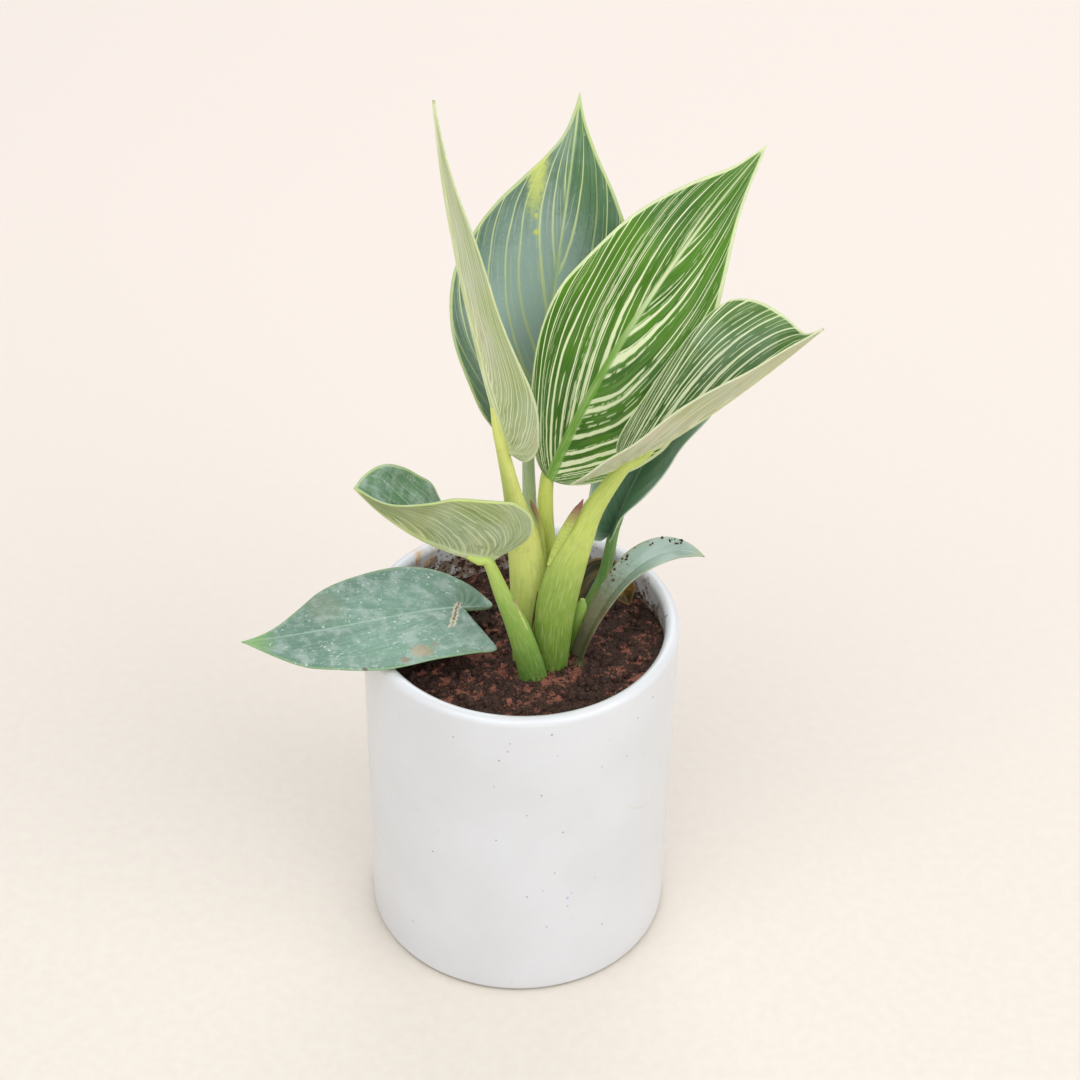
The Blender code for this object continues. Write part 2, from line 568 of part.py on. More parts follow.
def soil():
    """A plug that fills the pot, clear of its wall, with a lumpy top and holes for what stands in it."""
    inner = POT_RADIUS - POT_WALL
    profile = arc((inner - INSIDE_ROUND, POT_FLOOR + INSIDE_ROUND), INSIDE_ROUND - GAP, -90, 0, 3)
    turns = [2 * pi * s / POT_SIDES for s in range(POT_SIDES)]
    points = [(radius * cos(t), radius * sin(t), height) for radius, height in profile for t in turns]
    for ring in range(SOIL_RINGS):
        radius = (inner - GAP) * (1 - ring / SOIL_RINGS)
        for t in turns:
            x, y = radius * cos(t), radius * sin(t)
            points.append((x, y, soil_height(x, y)))
    points.append((0, 0, soil_height(0, 0)))
    faces = [tuple(range(POT_SIDES))]
    for k in range(len(profile) + SOIL_RINGS - 1):
        for s in range(POT_SIDES):
            a, b = k * POT_SIDES + s, k * POT_SIDES + (s + 1) % POT_SIDES
            faces += [(a, b, b + POT_SIDES), (a, b + POT_SIDES, a + POT_SIDES)]
    last = len(points) - 1
    for s in range(POT_SIDES):
        faces.append((last - POT_SIDES + s, last - POT_SIDES + (s + 1) % POT_SIDES, last))
    plug = add_object("soil", points, faces)
    mouth = prism("mouth", stalk_outline(HOLE_GAP, 6), [(CROWN_TOP - 3, 1), (CROWN_TOP + 20, 1)])
    side = tube("side", LEAVES["leaf_on_rim"]["stalk"], 10, 10, False, grow=HOLE_GAP + 0.2)
    combine(plug, [rootstock_solid("hole", HOLE_GAP), mouth, side], "DIFFERENCE")
    finish(plug, 25)


def main():
    clear_scene()
    pot()
    soil()
    finish(rootstock_solid("rootstock"))
    for name, spec in LEAVES.items():
        leaf(name, spec)


main()
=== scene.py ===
"""The looks of the potted philodendron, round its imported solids. Lengths are millimetres unless named."""
from functools import reduce
from math import cos, pi, radians, sin

import bmesh
import bpy
import numpy as np
from mathutils import Matrix, Vector, noise


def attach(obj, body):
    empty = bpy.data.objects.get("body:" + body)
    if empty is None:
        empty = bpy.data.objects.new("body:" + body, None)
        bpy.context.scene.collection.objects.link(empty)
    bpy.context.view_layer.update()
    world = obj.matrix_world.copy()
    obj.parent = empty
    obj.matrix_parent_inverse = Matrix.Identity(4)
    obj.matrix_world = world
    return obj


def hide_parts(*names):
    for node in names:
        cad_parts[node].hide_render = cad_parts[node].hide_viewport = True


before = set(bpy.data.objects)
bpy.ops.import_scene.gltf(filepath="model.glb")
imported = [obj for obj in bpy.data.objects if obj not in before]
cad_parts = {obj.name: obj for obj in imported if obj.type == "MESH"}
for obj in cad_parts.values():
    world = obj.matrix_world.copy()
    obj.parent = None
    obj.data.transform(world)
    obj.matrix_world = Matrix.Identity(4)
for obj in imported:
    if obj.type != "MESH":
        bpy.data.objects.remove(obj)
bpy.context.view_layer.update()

MM = 0.001

# Camera
LENS = 83.33
SENSOR = 36
AIM = (5.4, 0, 149.7)
DISTANCE = 769.2
ELEVATION = 37.79
ROLL = 1.11

# Studio. Each lamp has a name, place and size in metres, power in watts, and tint.
LAMPS = [("key", (-0.6, -1.1, 1.7), 1.8, 18.0, (0.99, 0.99, 1.0)),
         ("fill", (1.1, -0.8, 1.3), 1.4, 13.0, (1.0, 0.99, 0.98)),
         ("back", (0.2, 1.6, 1.3), 1.4, 10.0, (1.0, 1.0, 1.0))]
LAMP_AIM = Vector((0, 0, 0.15))
SKY_TINT = (0.95, 0.98, 1.0, 1)
SKY_STRENGTH = 0.7
FLOOR_REACH = 2400.0
FLOOR_CELLS = 24
FLOOR_HEIGHT = -0.02

# Pot
POT_RADIUS = 50.0
POT_FOOT_RADIUS = 49.4
POT_HEIGHT = 119.0
POT_INNER = 45.4
POT_FLOOR = 7.0
POT_SIDES = 192
FOOT_ROUND = 2.2
RIM_ROUND = 2.3
INSIDE_ROUND = 7.0

# Soil. Its lower rings have a radius and a height, and keep clear of the pot's rounded floor.
SOIL_RADIUS = 45.25
SOIL_TOP = 107.5
SOIL_SLOPE = (0.06, -0.11)
SOIL_SIDES = [(SOIL_RADIUS, 96.0), (SOIL_RADIUS, 14.0), (SOIL_RADIUS - 6.7, 7.4)]
SOIL_RINGS = 96
SOIL_SECTORS = 420
CLOD_HEIGHT = 0.9
CROWN = (9.0, -9.0)
HEAP_HEIGHT = 1.3
HEAP_REACH = 16
CRUMB_COUNT = 520
STRAP_GRAINS = 26

# Leaves
FOOT = 108.0
THICK = 0.6
CREASE = 3.0
FAN_END = 0.22
VEIN_SWEEP = 2.2
VEIN_WAVES = 13
EDGE_WAVES = 4.3
EDGE_THINNING = 0.45
RIB_TAPER = 0.75
RIB_GROOVE = 0.16
STALK_RIBS = 0.006
NARROW_MESH = dict(veins=60, rows=12, wave=0.05, ripple=0.15)
# How a stalk runs out under its blade: place along the midrib and thickness, as a share of the midrib's.
STALK_ENDS = [(0, 1.3), (0.06, 1.1), (0.14, 0.6)]
STALK_DROP = 0.95


def rows_of(*rows):
    """Rows of an outline that the lobe doesn't move."""
    return [(*row, 0) for row in rows]


# Outlines of half a blade, in rows of place along the midrib, share of the half width and share of the lobe.
LOBED = [(0, 0, 0), (0, 0.2, 0.7), (0.03, 0.45, 1), (0.08, 0.67, 0.8), (0.15, 0.85, 0.45),
         (0.24, 0.96, 0.15), (0.34, 1, 0)]
BROAD = LOBED + rows_of((0.48, 0.94), (0.63, 0.78), (0.77, 0.5), (0.88, 0.23), (0.95, 0.08), (1, 0))
SHOULDER = LOBED + rows_of((0.48, 0.97), (0.58, 0.83), (0.66, 0.66), (0.73, 0.46), (0.8, 0.26),
                           (0.87, 0.11), (0.94, 0.04), (1, 0))
DRAWN = LOBED + rows_of((0.48, 0.92), (0.6, 0.76), (0.72, 0.52), (0.82, 0.28), (0.9, 0.12),
                        (0.95, 0.05), (1, 0))
SLENDER = LOBED[:4] + [(0.15, 0.87, 0.45), (0.24, 1, 0.15)] + rows_of(
    (0.34, 0.96), (0.48, 0.86), (0.6, 0.7), (0.72, 0.5), (0.82, 0.31), (0.9, 0.17), (0.95, 0.09), (1, 0))
FULL = LOBED + rows_of((0.48, 0.97), (0.63, 0.85), (0.77, 0.62), (0.88, 0.36), (0.95, 0.15), (1, 0))
BLUNT = LOBED + rows_of((0.5, 0.95), (0.66, 0.82), (0.8, 0.66), (0.9, 0.47), (0.97, 0.22), (1, 0))
ROLLED = rows_of((0, 0), (0.02, 0.15), (0.06, 0.36), (0.12, 0.6), (0.2, 0.82), (0.3, 0.96), (0.4, 1),
                 (0.5, 0.9), (0.63, 0.66), (0.77, 0.37), (0.88, 0.13), (0.95, 0.045), (1, 0))
HOODED = rows_of((0, 0), (0.02, 0.2), (0.08, 0.36), (0.2, 0.52), (0.4, 0.74), (0.6, 0.9), (0.74, 0.93),
                 (0.83, 0.75), (0.885, 0.45), (0.92, 0.13), (0.95, 0.04), (1, 0))
EARED = rows_of((0, 0), (-0.08, 0.18), (-0.15, 0.5), (-0.12, 0.8), (0, 0.98), (0.12, 1), (0.3, 0.93),
                (0.5, 0.8), (0.7, 0.55), (0.86, 0.27), (0.95, 0.1), (1, 0))
FLAT_NEAR = rows_of((0, 0), (-0.03, 0.45), (-0.055, 0.82), (-0.03, 0.94), (0.07, 0.97), (0.25, 1),
                    (0.45, 0.99), (0.65, 0.83), (0.82, 0.5), (0.92, 0.2), (1, 0))
FLAT_FAR = rows_of((0, 0), (-0.08, 0.01), (-0.15, 0.05), (-0.13, 0.24), (-0.04, 0.62), (0.08, 0.88),
                   (0.25, 1), (0.45, 0.94), (0.6, 0.76), (0.72, 0.5), (0.82, 0.25), (0.91, 0.09), (1, 0))
STRAP = rows_of((0, 0), (0, 0.45), (0.04, 0.55), (0.15, 0.58), (0.35, 0.72), (0.6, 1), (0.78, 0.85),
                (0.9, 0.45), (1, 0))

# The leaves, with the part's own numbers. Pairs are for the left and the right half of the blade. Up gives
# hints for the upper side along the midrib, fold and curl are degrees from base to tip, and a station of
# a stalk is x, y, z, half width and half thickness.
LEAVES = {
    "leaf_left_tall": dict(
        midrib=[(-4.3, -10, 191), (-13, -8, 223), (-23, 0, 262), (-26, 10, 294.5)],
        up=[(0.97, 0.2, 0.2), (0.97, 0.2, 0.3), (0.97, 0.2, 0.4)], half=(24, 15),
        fold=[(25, 12, 12), (8, 5, -5)], curl=[(15, 15, 15), (5, 5, 5)],
        lobe=(0.03, 0), belly=(-0.1, 0), outline=(BROAD, BROAD), rib=1.5, pucker=0.35,
        stalk=[(2.5, -9.5, FOOT, 5, 2.4), (2, -10, 135, 5.4, 2.5), (1.2, -10, 154, 5.6, 2.5),
               (-2.9, -10, 174, 2.9, 2.2)]),
    "leaf_back": dict(
        midrib=[(1.3, 16, 171.5), (6, 24, 207), (12, 38, 247), (14.6, 52.2, 276)],
        up=[(0, -0.95, 0.3), (0, -0.95, 0.35), (0, -0.9, 0.3)], half=(32.5, 28),
        fold=[(58, 12, 5), (52, 12, 8)], curl=[(20, 12, 8)] * 2,
        lobe=(-0.02, -0.02), belly=(0.12, 0.1), outline=(SHOULDER, DRAWN), rib=1.4,
        stalk=[(5, -3, FOOT, 3, 2), (4, 2, 125, 2.6, 2), (2, 11, 155, 2.2, 2)]),
    "leaf_centre": dict(
        midrib=[(7.4, -4, 176.2), (19.2, 4, 207.5), (43.2, 20, 242), (69.1, 35.3, 268.9)],
        up=[(0.15, -0.85, 0.45), (0.2, -0.85, 0.45), (0.1, -0.85, 0.5)], half=(30.5, 28),
        fold=[(38, 16, 4), (3, 24, 46)], curl=[(20, 20, 5), (10, 15, 20)],
        lobe=(0.05, 0), belly=(0.2, 0), outline=(ROLLED, SLENDER), rib=1.6,
        stalk=[(11.8, -6.8, FOOT, 3.1, 2.2), (9.8, -5.6, 135, 2.9, 2.2), (7, -4.6, 160, 2.6, 2.2)]),
    "leaf_right": dict(
        midrib=[(28.4, -15, 190.2), (47, -14, 201), (66, -15, 220), (83.8, -15, 238.7)],
        up=[(-0.3, -0.1, 0.95), (-0.25, -0.05, 0.95), (-0.2, 0, 0.95)], half=(25, 20),
        fold=[(75, 52, 30), (38, 38, 38)], curl=[(20, 20, 15), (22, 20, 10)],
        lobe=(0, 0.22), belly=(0, 0), outline=(HOODED, FULL), rib=1.6,
        stalk=[(10, -14.5, FOOT, 4.6, 2.2), (10, -15, 123, 5.6, 2.4), (10.7, -15, 136, 6.2, 2.4),
               (13.2, -14.6, 148.7, 5.9, 2.4), (16.5, -14, 161, 5.1, 2.2), (21.3, -13.8, 173, 3.3, 2.1)]),
    "leaf_left_cupped": dict(
        midrib=[(-9.4, -22, 159.6), (-20, -26, 164), (-36, -32, 176), (-47.7, -35, 194.7)],
        up=[(0.1, 0.2, 0.95), (0.1, 0.2, 0.95), (0.6, 0.2, 0.7)], half=(22, 19),
        fold=[(60, 56, 32), (0, 30, 40)], curl=[(30, 30, 15), (20, 30, 30)],
        lobe=(0, 0.1), belly=(0, 0.5), outline=(EARED, BLUNT), rib=1.3,
        stalk=[(4.5, -18.5, FOOT, 4.6, 2.3), (2.6, -19.4, 118, 4.2, 2.3), (-1, -20.5, 132, 3.6, 2.2),
               (-5.5, -21.5, 145, 2.6, 2.1)]),
    "leaf_on_rim": dict(
        midrib=[(-19, 8.2, 115.5), (-33, 3, 119.6), (-62, -15, 122.2), (-86.1, -18.4, 122)],
        up=[(0, 0, 1), (0, 0, 1), (0, -0.15, 1)], half=(25.5, 20),
        fold=[(0, 0, 5), (8, 8, 5)], curl=[(5, 5, 5)] * 2,
        lobe=(0, 0), belly=(0, 0), outline=(FLAT_NEAR, FLAT_FAR), rib=1.1, foot_flat=False,
        stalk=[(-1.4, -3.6, 94.5, 1.9, 1.7), (-6, -0.3, 97, 1.9, 1.7), (-11, 3.2, 101.5, 1.9, 1.7),
               (-16, 6.5, 107.5, 1.9, 1.7), (-18.5, 8, 112, 1.9, 1.7)]),
    "leaf_back_right": dict(
        midrib=[(27.7, 8, 146.8), (35, 14, 168), (47, 20, 190), (61, 26, 208)],
        up=[(-0.3, -0.8, 0.5)] * 3, half=(20, 19),
        fold=[(64, 40, 15), (70, 45, 15)], curl=[(20, 20, 10)] * 2,
        lobe=(0.05, 0.03), belly=(0.2, 0.4), outline=(BROAD, BROAD), rib=1.3,
        stalk=[(14, -2, FOOT, 2.3, 2), (21, 2, 122.2, 2.1, 1.9), (25.8, 6, 132.6, 1.9, 1.9)]),
    "leaf_right_strap": dict(
        midrib=[(18.4, -13, 114), (22.5, -11, 130), (37, -2, 157), (56.8, 4, 141.3)],
        up=[(-0.5, -0.4, 0.6), (-0.4, -0.3, 0.9), (0.1, -0.3, 1)], half=(6, 5),
        fold=[(20, 20, 10)] * 2, curl=[(10, 10, 10)] * 2,
        lobe=(0, 0), belly=(0, 0), outline=(STRAP, STRAP), rib=0.7, narrow=True,
        stalk=[(17.8, -13.2, FOOT, 3.1, 1.3)]),
    "leaf_withered": dict(
        midrib=[(16.6, 6, 113), (18.5, 11, 128), (27, 17, 136), (34.5, 15, 112)],
        up=[(-0.2, -0.9, 0.2), (-0.2, -0.9, 0.3), (0, -0.9, 0.2)], half=(6, 6),
        fold=[(20, 20, 20)] * 2, curl=[(10, 10, 10)] * 2,
        lobe=(0, 0), belly=(0, 0), outline=(STRAP, STRAP), rib=0.5, narrow=True,
        stalk=[(16, 4.5, FOOT, 2.2, 1.1)]),
    "leaf_bud": dict(
        stalk=[(17.8, -6.6, FOOT, 2.2, 1.7), (18, -6.6, 118, 2.2, 1.6), (18.6, -6.6, 128, 1.9, 1.3),
               (19, -6.6, 132, 0.7, 0.5)]),
}


def hexed(code):
    """A web colour as the linear colour that Blender wants."""
    parts = [int(code[k:k + 2], 16) / 255 for k in (1, 3, 5)]
    return (*[c / 12.92 if c <= 0.04045 else ((c + 0.055) / 1.055) ** 2.4 for c in parts], 1)


class Paint:
    """A material whose node graph is built by calls. Each call adds a node and returns its output."""

    def __init__(self, name, roughness=0.5, **sockets):
        self.material = bpy.data.materials.new(name)
        self.material.use_nodes = True
        self.tree = self.material.node_tree
        self.shader = self.tree.nodes["Principled BSDF"]
        self.shader.inputs["Roughness"].default_value = roughness
        for key, value in sockets.items():
            self.shader.inputs[key.replace("_", " ")].default_value = value

    def node(self, kind, inputs, **settings):
        made = self.tree.nodes.new(kind)
        for key, value in settings.items():
            setattr(made, key, value)
        for key, value in inputs.items():
            if isinstance(value, bpy.types.NodeSocket):
                self.tree.links.new(value, made.inputs[key])
            else:
                made.inputs[key].default_value = value
        return made

    def math(self, kind, a, b=0.0, c=0.0):
        return self.node("ShaderNodeMath", {0: a, 1: b, 2: c}, operation=kind).outputs[0]

    def add(self, a, b):
        return self.math("ADD", a, b)

    def less(self, a, b):
        return self.math("SUBTRACT", a, b)

    def times(self, a, b):
        return self.math("MULTIPLY", a, b)

    def most(self, a, b):
        return self.math("MAXIMUM", a, b)

    def gap(self, a, b):
        return self.math("ABSOLUTE", self.less(a, b))

    def line(self, value, slope, start):
        return self.math("MULTIPLY_ADD", value, slope, start)

    def sway(self, value, amount):
        """A share of 0 to 1 turned into a shift to either side."""
        return self.times(self.less(value, 0.5), amount)

    def ease(self, value, low, high, first=0.0, last=1.0):
        return self.node("ShaderNodeMapRange", {0: value, 1: low, 2: high, 3: first, 4: last},
                         interpolation_type="SMOOTHSTEP").outputs[0]

    def fade(self, value, low, high):
        return self.ease(value, low, high, 1.0, 0.0)

    def mix(self, share, a, b, kind="MIX"):
        return self.node("ShaderNodeMix", {0: share, 6: a, 7: b}, data_type="RGBA",
                         blend_type=kind).outputs[2]

    def blend(self, share, first, second):
        return self.mix(share, hexed(first), hexed(second))

    def lay(self, colour, mask, tint, amount=1.0):
        """The colour with a web colour laid over it where the mask says."""
        return self.mix(self.times(mask, amount), colour, hexed(tint))

    def noise(self, vector, scale, detail=2.0, rough=0.5, bend=0.0):
        return self.node("ShaderNodeTexNoise", {"Vector": vector, "Scale": scale, "Detail": detail,
                                                "Roughness": rough, "Distortion": bend}).outputs[0]

    def xyz(self, x, y, z=0.0):
        return self.node("ShaderNodeCombineXYZ", {0: x, 1: y, 2: z}).outputs[0]

    def split(self, vector):
        return self.node("ShaderNodeSeparateXYZ", {0: vector}).outputs

    def place(self):
        """Object coordinates in millimetres."""
        where = self.node("ShaderNodeTexCoord", {}).outputs["Object"]
        return self.node("ShaderNodeVectorMath", {0: where, "Scale": 1 / MM}, operation="SCALE").outputs[0]

    def uv(self, name):
        return self.split(self.node("ShaderNodeUVMap", {}, uv_map=name).outputs[0])

    def distance(self, a, b):
        return self.node("ShaderNodeVectorMath", {0: a, 1: b}, operation="DISTANCE").outputs["Value"]

    def spot(self, vector, middle, radius, soft):
        """1 within the radius of a point, eased to 0 over the soft length."""
        return self.fade(self.distance(vector, middle), radius, radius + soft)

    def coat(self, colour, grain, spread, base, height, strength, depth):
        """The material with its colour, a roughness of base and a spread of grain, and its relief."""
        relief = self.node("ShaderNodeBump", {"Height": height, "Strength": strength, "Distance": depth * MM})
        for socket, value in (("Base Color", colour), ("Roughness", self.line(grain, spread, base)),
                              ("Normal", relief.outputs[0])):
            self.tree.links.new(value, self.shader.inputs[socket])
        return self.material


def unit(vectors):
    return vectors / np.linalg.norm(vectors, axis=-1, keepdims=True)


def spline(rows, t):
    """Catmull-Rom curve through rows of numbers, with t from 0 to 1 along its chords."""
    rows = np.asarray(rows, float)
    ends = np.vstack([2 * rows[0] - rows[1], rows, 2 * rows[-1] - rows[-2]])
    chord = np.linalg.norm(np.diff(rows, axis=0), axis=1)
    reach = np.concatenate([[0], np.cumsum(chord)]) / chord.sum()
    t = np.asarray(t, float)
    i = np.clip(np.searchsorted(reach, t, side="right") - 1, 0, len(chord) - 1)
    u = ((t - reach[i]) / (reach[i + 1] - reach[i]))[..., None]
    a, b, c, d = ends[i], ends[i + 1], ends[i + 2], ends[i + 3]
    bend = (2 * a - 5 * b + 4 * c - d) * u * u + (3 * b - a - 3 * c + d) * u ** 3
    return 0.5 * (2 * b + (c - a) * u + bend)


def keyed(keys, x):
    """Values at x, from 0 to 1, eased between evenly spaced keys."""
    keys = np.asarray(keys, float)
    place = np.clip(x, 0, 1) * (len(keys) - 1)
    i = np.minimum(place.astype(int), len(keys) - 2)
    u = place - i
    ease = u * u * (3 - 2 * u)
    if keys.ndim > 1:
        ease = ease[..., None]
    return keys[i] * (1 - ease) + keys[i + 1] * ease


class Blade:
    """The middle surface of a leaf blade, as in the part: a flat outline bent along its midrib."""

    def __init__(self, spec):
        self.spec = spec
        self.bezier = np.asarray(spec["midrib"], float)
        self.steps = np.linspace(0, 1, 401)
        line = self.curve(self.steps)
        run = np.concatenate([[0], np.cumsum(np.linalg.norm(np.diff(line, axis=0), axis=1))])
        self.length = run[-1]
        self.run = run / run[-1]
        self.first = {side: self.hindmost(side) for side in (-1, 1)}

    def curve(self, t):
        a, b, c, d = self.bezier
        t = np.asarray(t, float)[..., None]
        s = 1 - t
        return s ** 3 * a + 3 * s * s * t * b + 3 * s * t * t * c + t ** 3 * d

    def slope(self, t):
        a, b, c, d = self.bezier
        t = np.asarray(t, float)[..., None]
        s = 1 - t
        return unit(s * s * (b - a) + 2 * s * t * (c - b) + t * t * (d - c))

    def frame(self, x):
        """Point, forward, upper side and right-hand direction at x lengths along the midrib."""
        x = np.asarray(x, float)
        held = np.clip(x, 0, 1)
        t = np.interp(held, self.run, self.steps)
        forward = self.slope(t)
        point = self.curve(t) + forward * ((x - held) * self.length)[..., None]
        hint = keyed(self.spec["up"], held)
        up = unit(hint - np.sum(hint * forward, axis=-1, keepdims=True) * forward)
        return point, forward, up, np.cross(forward, up)

    def margin(self, side, t):
        half = 0 if side < 0 else 1
        row = spline(self.spec["outline"][half], t)
        x = row[..., 0] - row[..., 2] * self.spec["lobe"][half]
        x = np.where(x > 0, x + self.spec["belly"][half] * x * (1 - x), x)
        return x, np.maximum(row[..., 1], 0) * self.spec["half"][half] / self.length

    def hindmost(self, side):
        places = 0.02 * np.arange(1, 18)
        x, y = self.margin(side, places)
        return places[np.argmax(np.arctan2(y, x))]

    def vein(self, side, b, r):
        """Flat place on vein b, from 0 at the back to 1 at the tip, and r from midrib to margin."""
        first = self.first[side]
        end_x, end_y = self.margin(side, first + (1 - first) * b)
        if self.spec.get("narrow"):
            start = np.maximum(end_x, 0)
        else:
            start = np.maximum((b - FAN_END) / (1 - FAN_END), 0) ** VEIN_SWEEP
        return start + (end_x - start) * r, end_y * r

    def surface(self, side, x, y):
        half = 0 if side < 0 else 1
        point, _, up, right = self.frame(x)
        out = y * self.length
        fold = np.radians(keyed(self.spec["fold"][half], x))
        curl = np.radians(keyed(self.spec["curl"][half], x)) / self.spec["half"][half]
        across = (np.sin(fold + curl * out) - np.sin(fold)) / curl
        rise = (np.cos(fold) - np.cos(fold + curl * out)) / curl
        return point + right * side * across[..., None] + up * rise[..., None]

    def normal(self, side, x, y):
        step = 0.002
        ahead = self.surface(side, x + step, y) - self.surface(side, x - step, y)
        aside = self.surface(side, x, y + step) - self.surface(side, x, y)
        return unit(np.cross(ahead, aside * side) * -1)


def put(name, data):
    """A new object in the scene."""
    made = bpy.data.objects.new(name, data)
    bpy.context.scene.collection.objects.link(made)
    return made


def add_piece(name, node, points, faces, materials, kinds=None, maps=None, weld=0.004):
    """A closed, smooth mesh that stands for a CAD node. Maps give each point its own pair of numbers."""
    mesh = bpy.data.meshes.new(name)
    mesh.from_pydata([Vector(p) * MM for p in points], [], faces)
    for key, pairs in (maps or {}).items():
        layer = mesh.uv_layers.new(name=key)
        corners = np.zeros(len(mesh.loops), np.int32)
        mesh.loops.foreach_get("vertex_index", corners)
        layer.data.foreach_set("uv", np.asarray(pairs, np.float32)[corners].ravel())
    for material in materials:
        mesh.materials.append(material)
    if kinds is not None:
        mesh.polygons.foreach_set("material_index", np.asarray(kinds, np.int32))
    bm = bmesh.new()
    bm.from_mesh(mesh)
    bmesh.ops.remove_doubles(bm, verts=bm.verts, dist=weld * MM)
    bmesh.ops.dissolve_degenerate(bm, edges=bm.edges, dist=0.0005 * MM)
    bmesh.ops.recalc_face_normals(bm, faces=bm.faces)
    bm.to_mesh(mesh)
    bm.free()
    mesh.shade_smooth()
    made = put(name, mesh)
    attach(made, "root")
    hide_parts(node)


def blade_piece(node, spec, upper, lower, veins=120, rows=24, wave=0.14, ripple=0.35, pucker=0.0):
    """Both skins of a blade and its margin, with its midrib, vein waves and rippled edge."""
    blade = Blade(spec)
    b = np.linspace(0, 1, veins + 1)
    r = np.linspace(0, 1, rows + 1) ** 1.3
    points, faces, kinds, vein_map, place_map, edge_map = [], [], [], [], [], []
    for side in (-1, 1):
        first = len(points)
        vb, vr = np.meshgrid(b, r, indexing="ij")
        x, y = blade.vein(side, vb, vr)
        out = y * blade.length
        held = np.clip(x, 0, 1)
        end_x, end_y = blade.vein(side, vb, np.ones_like(vr))
        ray = np.hypot(end_x - x, end_y - y) * blade.length
        up = blade.frame(x)[2]
        share = np.clip(out / CREASE, 0, 1)[..., None]
        normal = unit(blade.normal(side, x, y) * share + up * (1 - share))
        # The waves die out at the midrib, at the margin and where the veins run together.
        sweep = vb - 0.1 * vr * vr
        open_part = np.sin(pi * np.clip(vr, 0, 1)) ** 0.7 * np.clip(ray / 4, 0, 1) * np.clip(out / 3, 0, 1)
        lift = wave * np.sin(2 * pi * VEIN_WAVES * sweep + side) * open_part
        lift += ripple * np.sin(2 * pi * EDGE_WAVES * vb + 1.7 * side + 1) * vr ** 3 * np.sin(pi * vb)
        crumple = np.sin(2 * pi * 9 * vr + 3 * np.sin(9 * vb)) * np.clip(1 - vb / 0.3, 0, 1)
        lift += pucker * crumple * open_part
        middle = blade.surface(side, x, y) + normal * lift[..., None]
        half_thick = THICK / 2 * (1 - EDGE_THINNING * vr ** 4)
        rib_width = 0.9 if spec.get("narrow") else 1.7 - 1.1 * held
        hump = np.exp(-(out / rib_width) ** 2)
        ridge = spec["rib"] * (1 - RIB_TAPER * held) * hump
        low = middle - normal * half_thick[..., None] - up * ridge[..., None]
        high = middle + normal * (half_thick - RIB_GROOVE * hump)[..., None]
        points.extend(np.stack([low, high], axis=2).reshape(-1, 3))
        for target, u, v in ((vein_map, vb, side * vr), (place_map, x, side * out), (edge_map, ray, vr)):
            pairs = np.stack([u, v], -1).reshape(-1, 2)
            target.extend(np.repeat(pairs, 2, axis=0))
        for i in range(veins):
            for j in range(rows):
                for layer in (0, 1):
                    a = first + 2 * (i * (rows + 1) + j) + layer
                    c = a + 2 * (rows + 1)
                    faces.append((a, c, c + 2, a + 2))
                    kinds.append(1 - layer)
        edge = [(0, j) for j in range(rows + 1)] + [(i, rows) for i in range(1, veins + 1)]
        for (i, j), (m, n) in zip(edge, edge[1:]):
            p = first + 2 * (i * (rows + 1) + j)
            q = first + 2 * (m * (rows + 1) + n)
            faces.append((p, q, q + 1, p + 1))
            kinds.append(0)
    maps = {"vein": vein_map, "place": place_map, "edge": edge_map}
    add_piece(node + "_blade", node, points, faces, [upper, lower], kinds, maps)


def stalk_stations(spec):
    """The stations of a stalk, and of its end under the midrib if it carries a blade."""
    stations = list(spec["stalk"])
    if "midrib" in spec:
        blade = Blade(spec)
        for x, share in STALK_ENDS:
            point, _, up, _ = blade.frame(np.array(x))
            thick = spec["rib"] * share
            stations.append((*(point - up * thick * STALK_DROP), thick, thick))
    return stations


def stalk_piece(name, node, stations, coat, rings=90, sides=40, flat_foot=True, ribs=0.0):
    """A smooth closed stalk of oval rings, with faint lengthwise ribs. Its map is turn and height."""
    hint = np.array((0.0, -1.0, 0.0))
    t = np.linspace(0, 1, rings + 1)
    rows = spline(stations, t)
    ahead = spline(stations, np.minimum(t + 0.01, 1))[:, :3]
    behind = spline(stations, np.maximum(t - 0.01, 0))[:, :3]
    forward = unit(ahead - behind)
    if flat_foot:
        forward[0] = (0, 0, 1)
    front = unit(hint - (forward @ hint)[:, None] * forward)
    right = np.cross(forward, front)
    length = np.concatenate([[0], np.cumsum(np.linalg.norm(np.diff(rows[:, :3], axis=0), axis=1))])
    points, pairs = [], []
    for k in range(rings + 1):
        for s in range(sides):
            turn = 2 * pi * s / sides
            swell = 1 + ribs * sin(9 * turn + 0.05 * length[k]) - ribs
            points.append(rows[k, :3] + right[k] * rows[k, 3] * swell * cos(turn)
                          + front[k] * rows[k, 4] * swell * sin(turn))
            pairs.append((abs(s / sides - 0.5) * 2, length[k]))
    faces = [tuple(range(sides)), tuple(range(rings * sides, (rings + 1) * sides))]
    add_piece(name, node, points, faces + ring_faces(rings, sides), [coat], maps={"stalk": pairs})


def ring(radius, sides, height=0.0):
    """Points round the pot's axis."""
    return [(radius * cos(t), radius * sin(t), height) for t in 2 * pi * np.arange(sides) / sides]


def ring_faces(rings, sides, first=0):
    """Four-sided faces between rings of points that follow one another."""
    return [(a, b, b + sides, a + sides) for k in range(rings) for s in range(sides)
            for a, b in [(first + k * sides + s, first + k * sides + (s + 1) % sides)]]


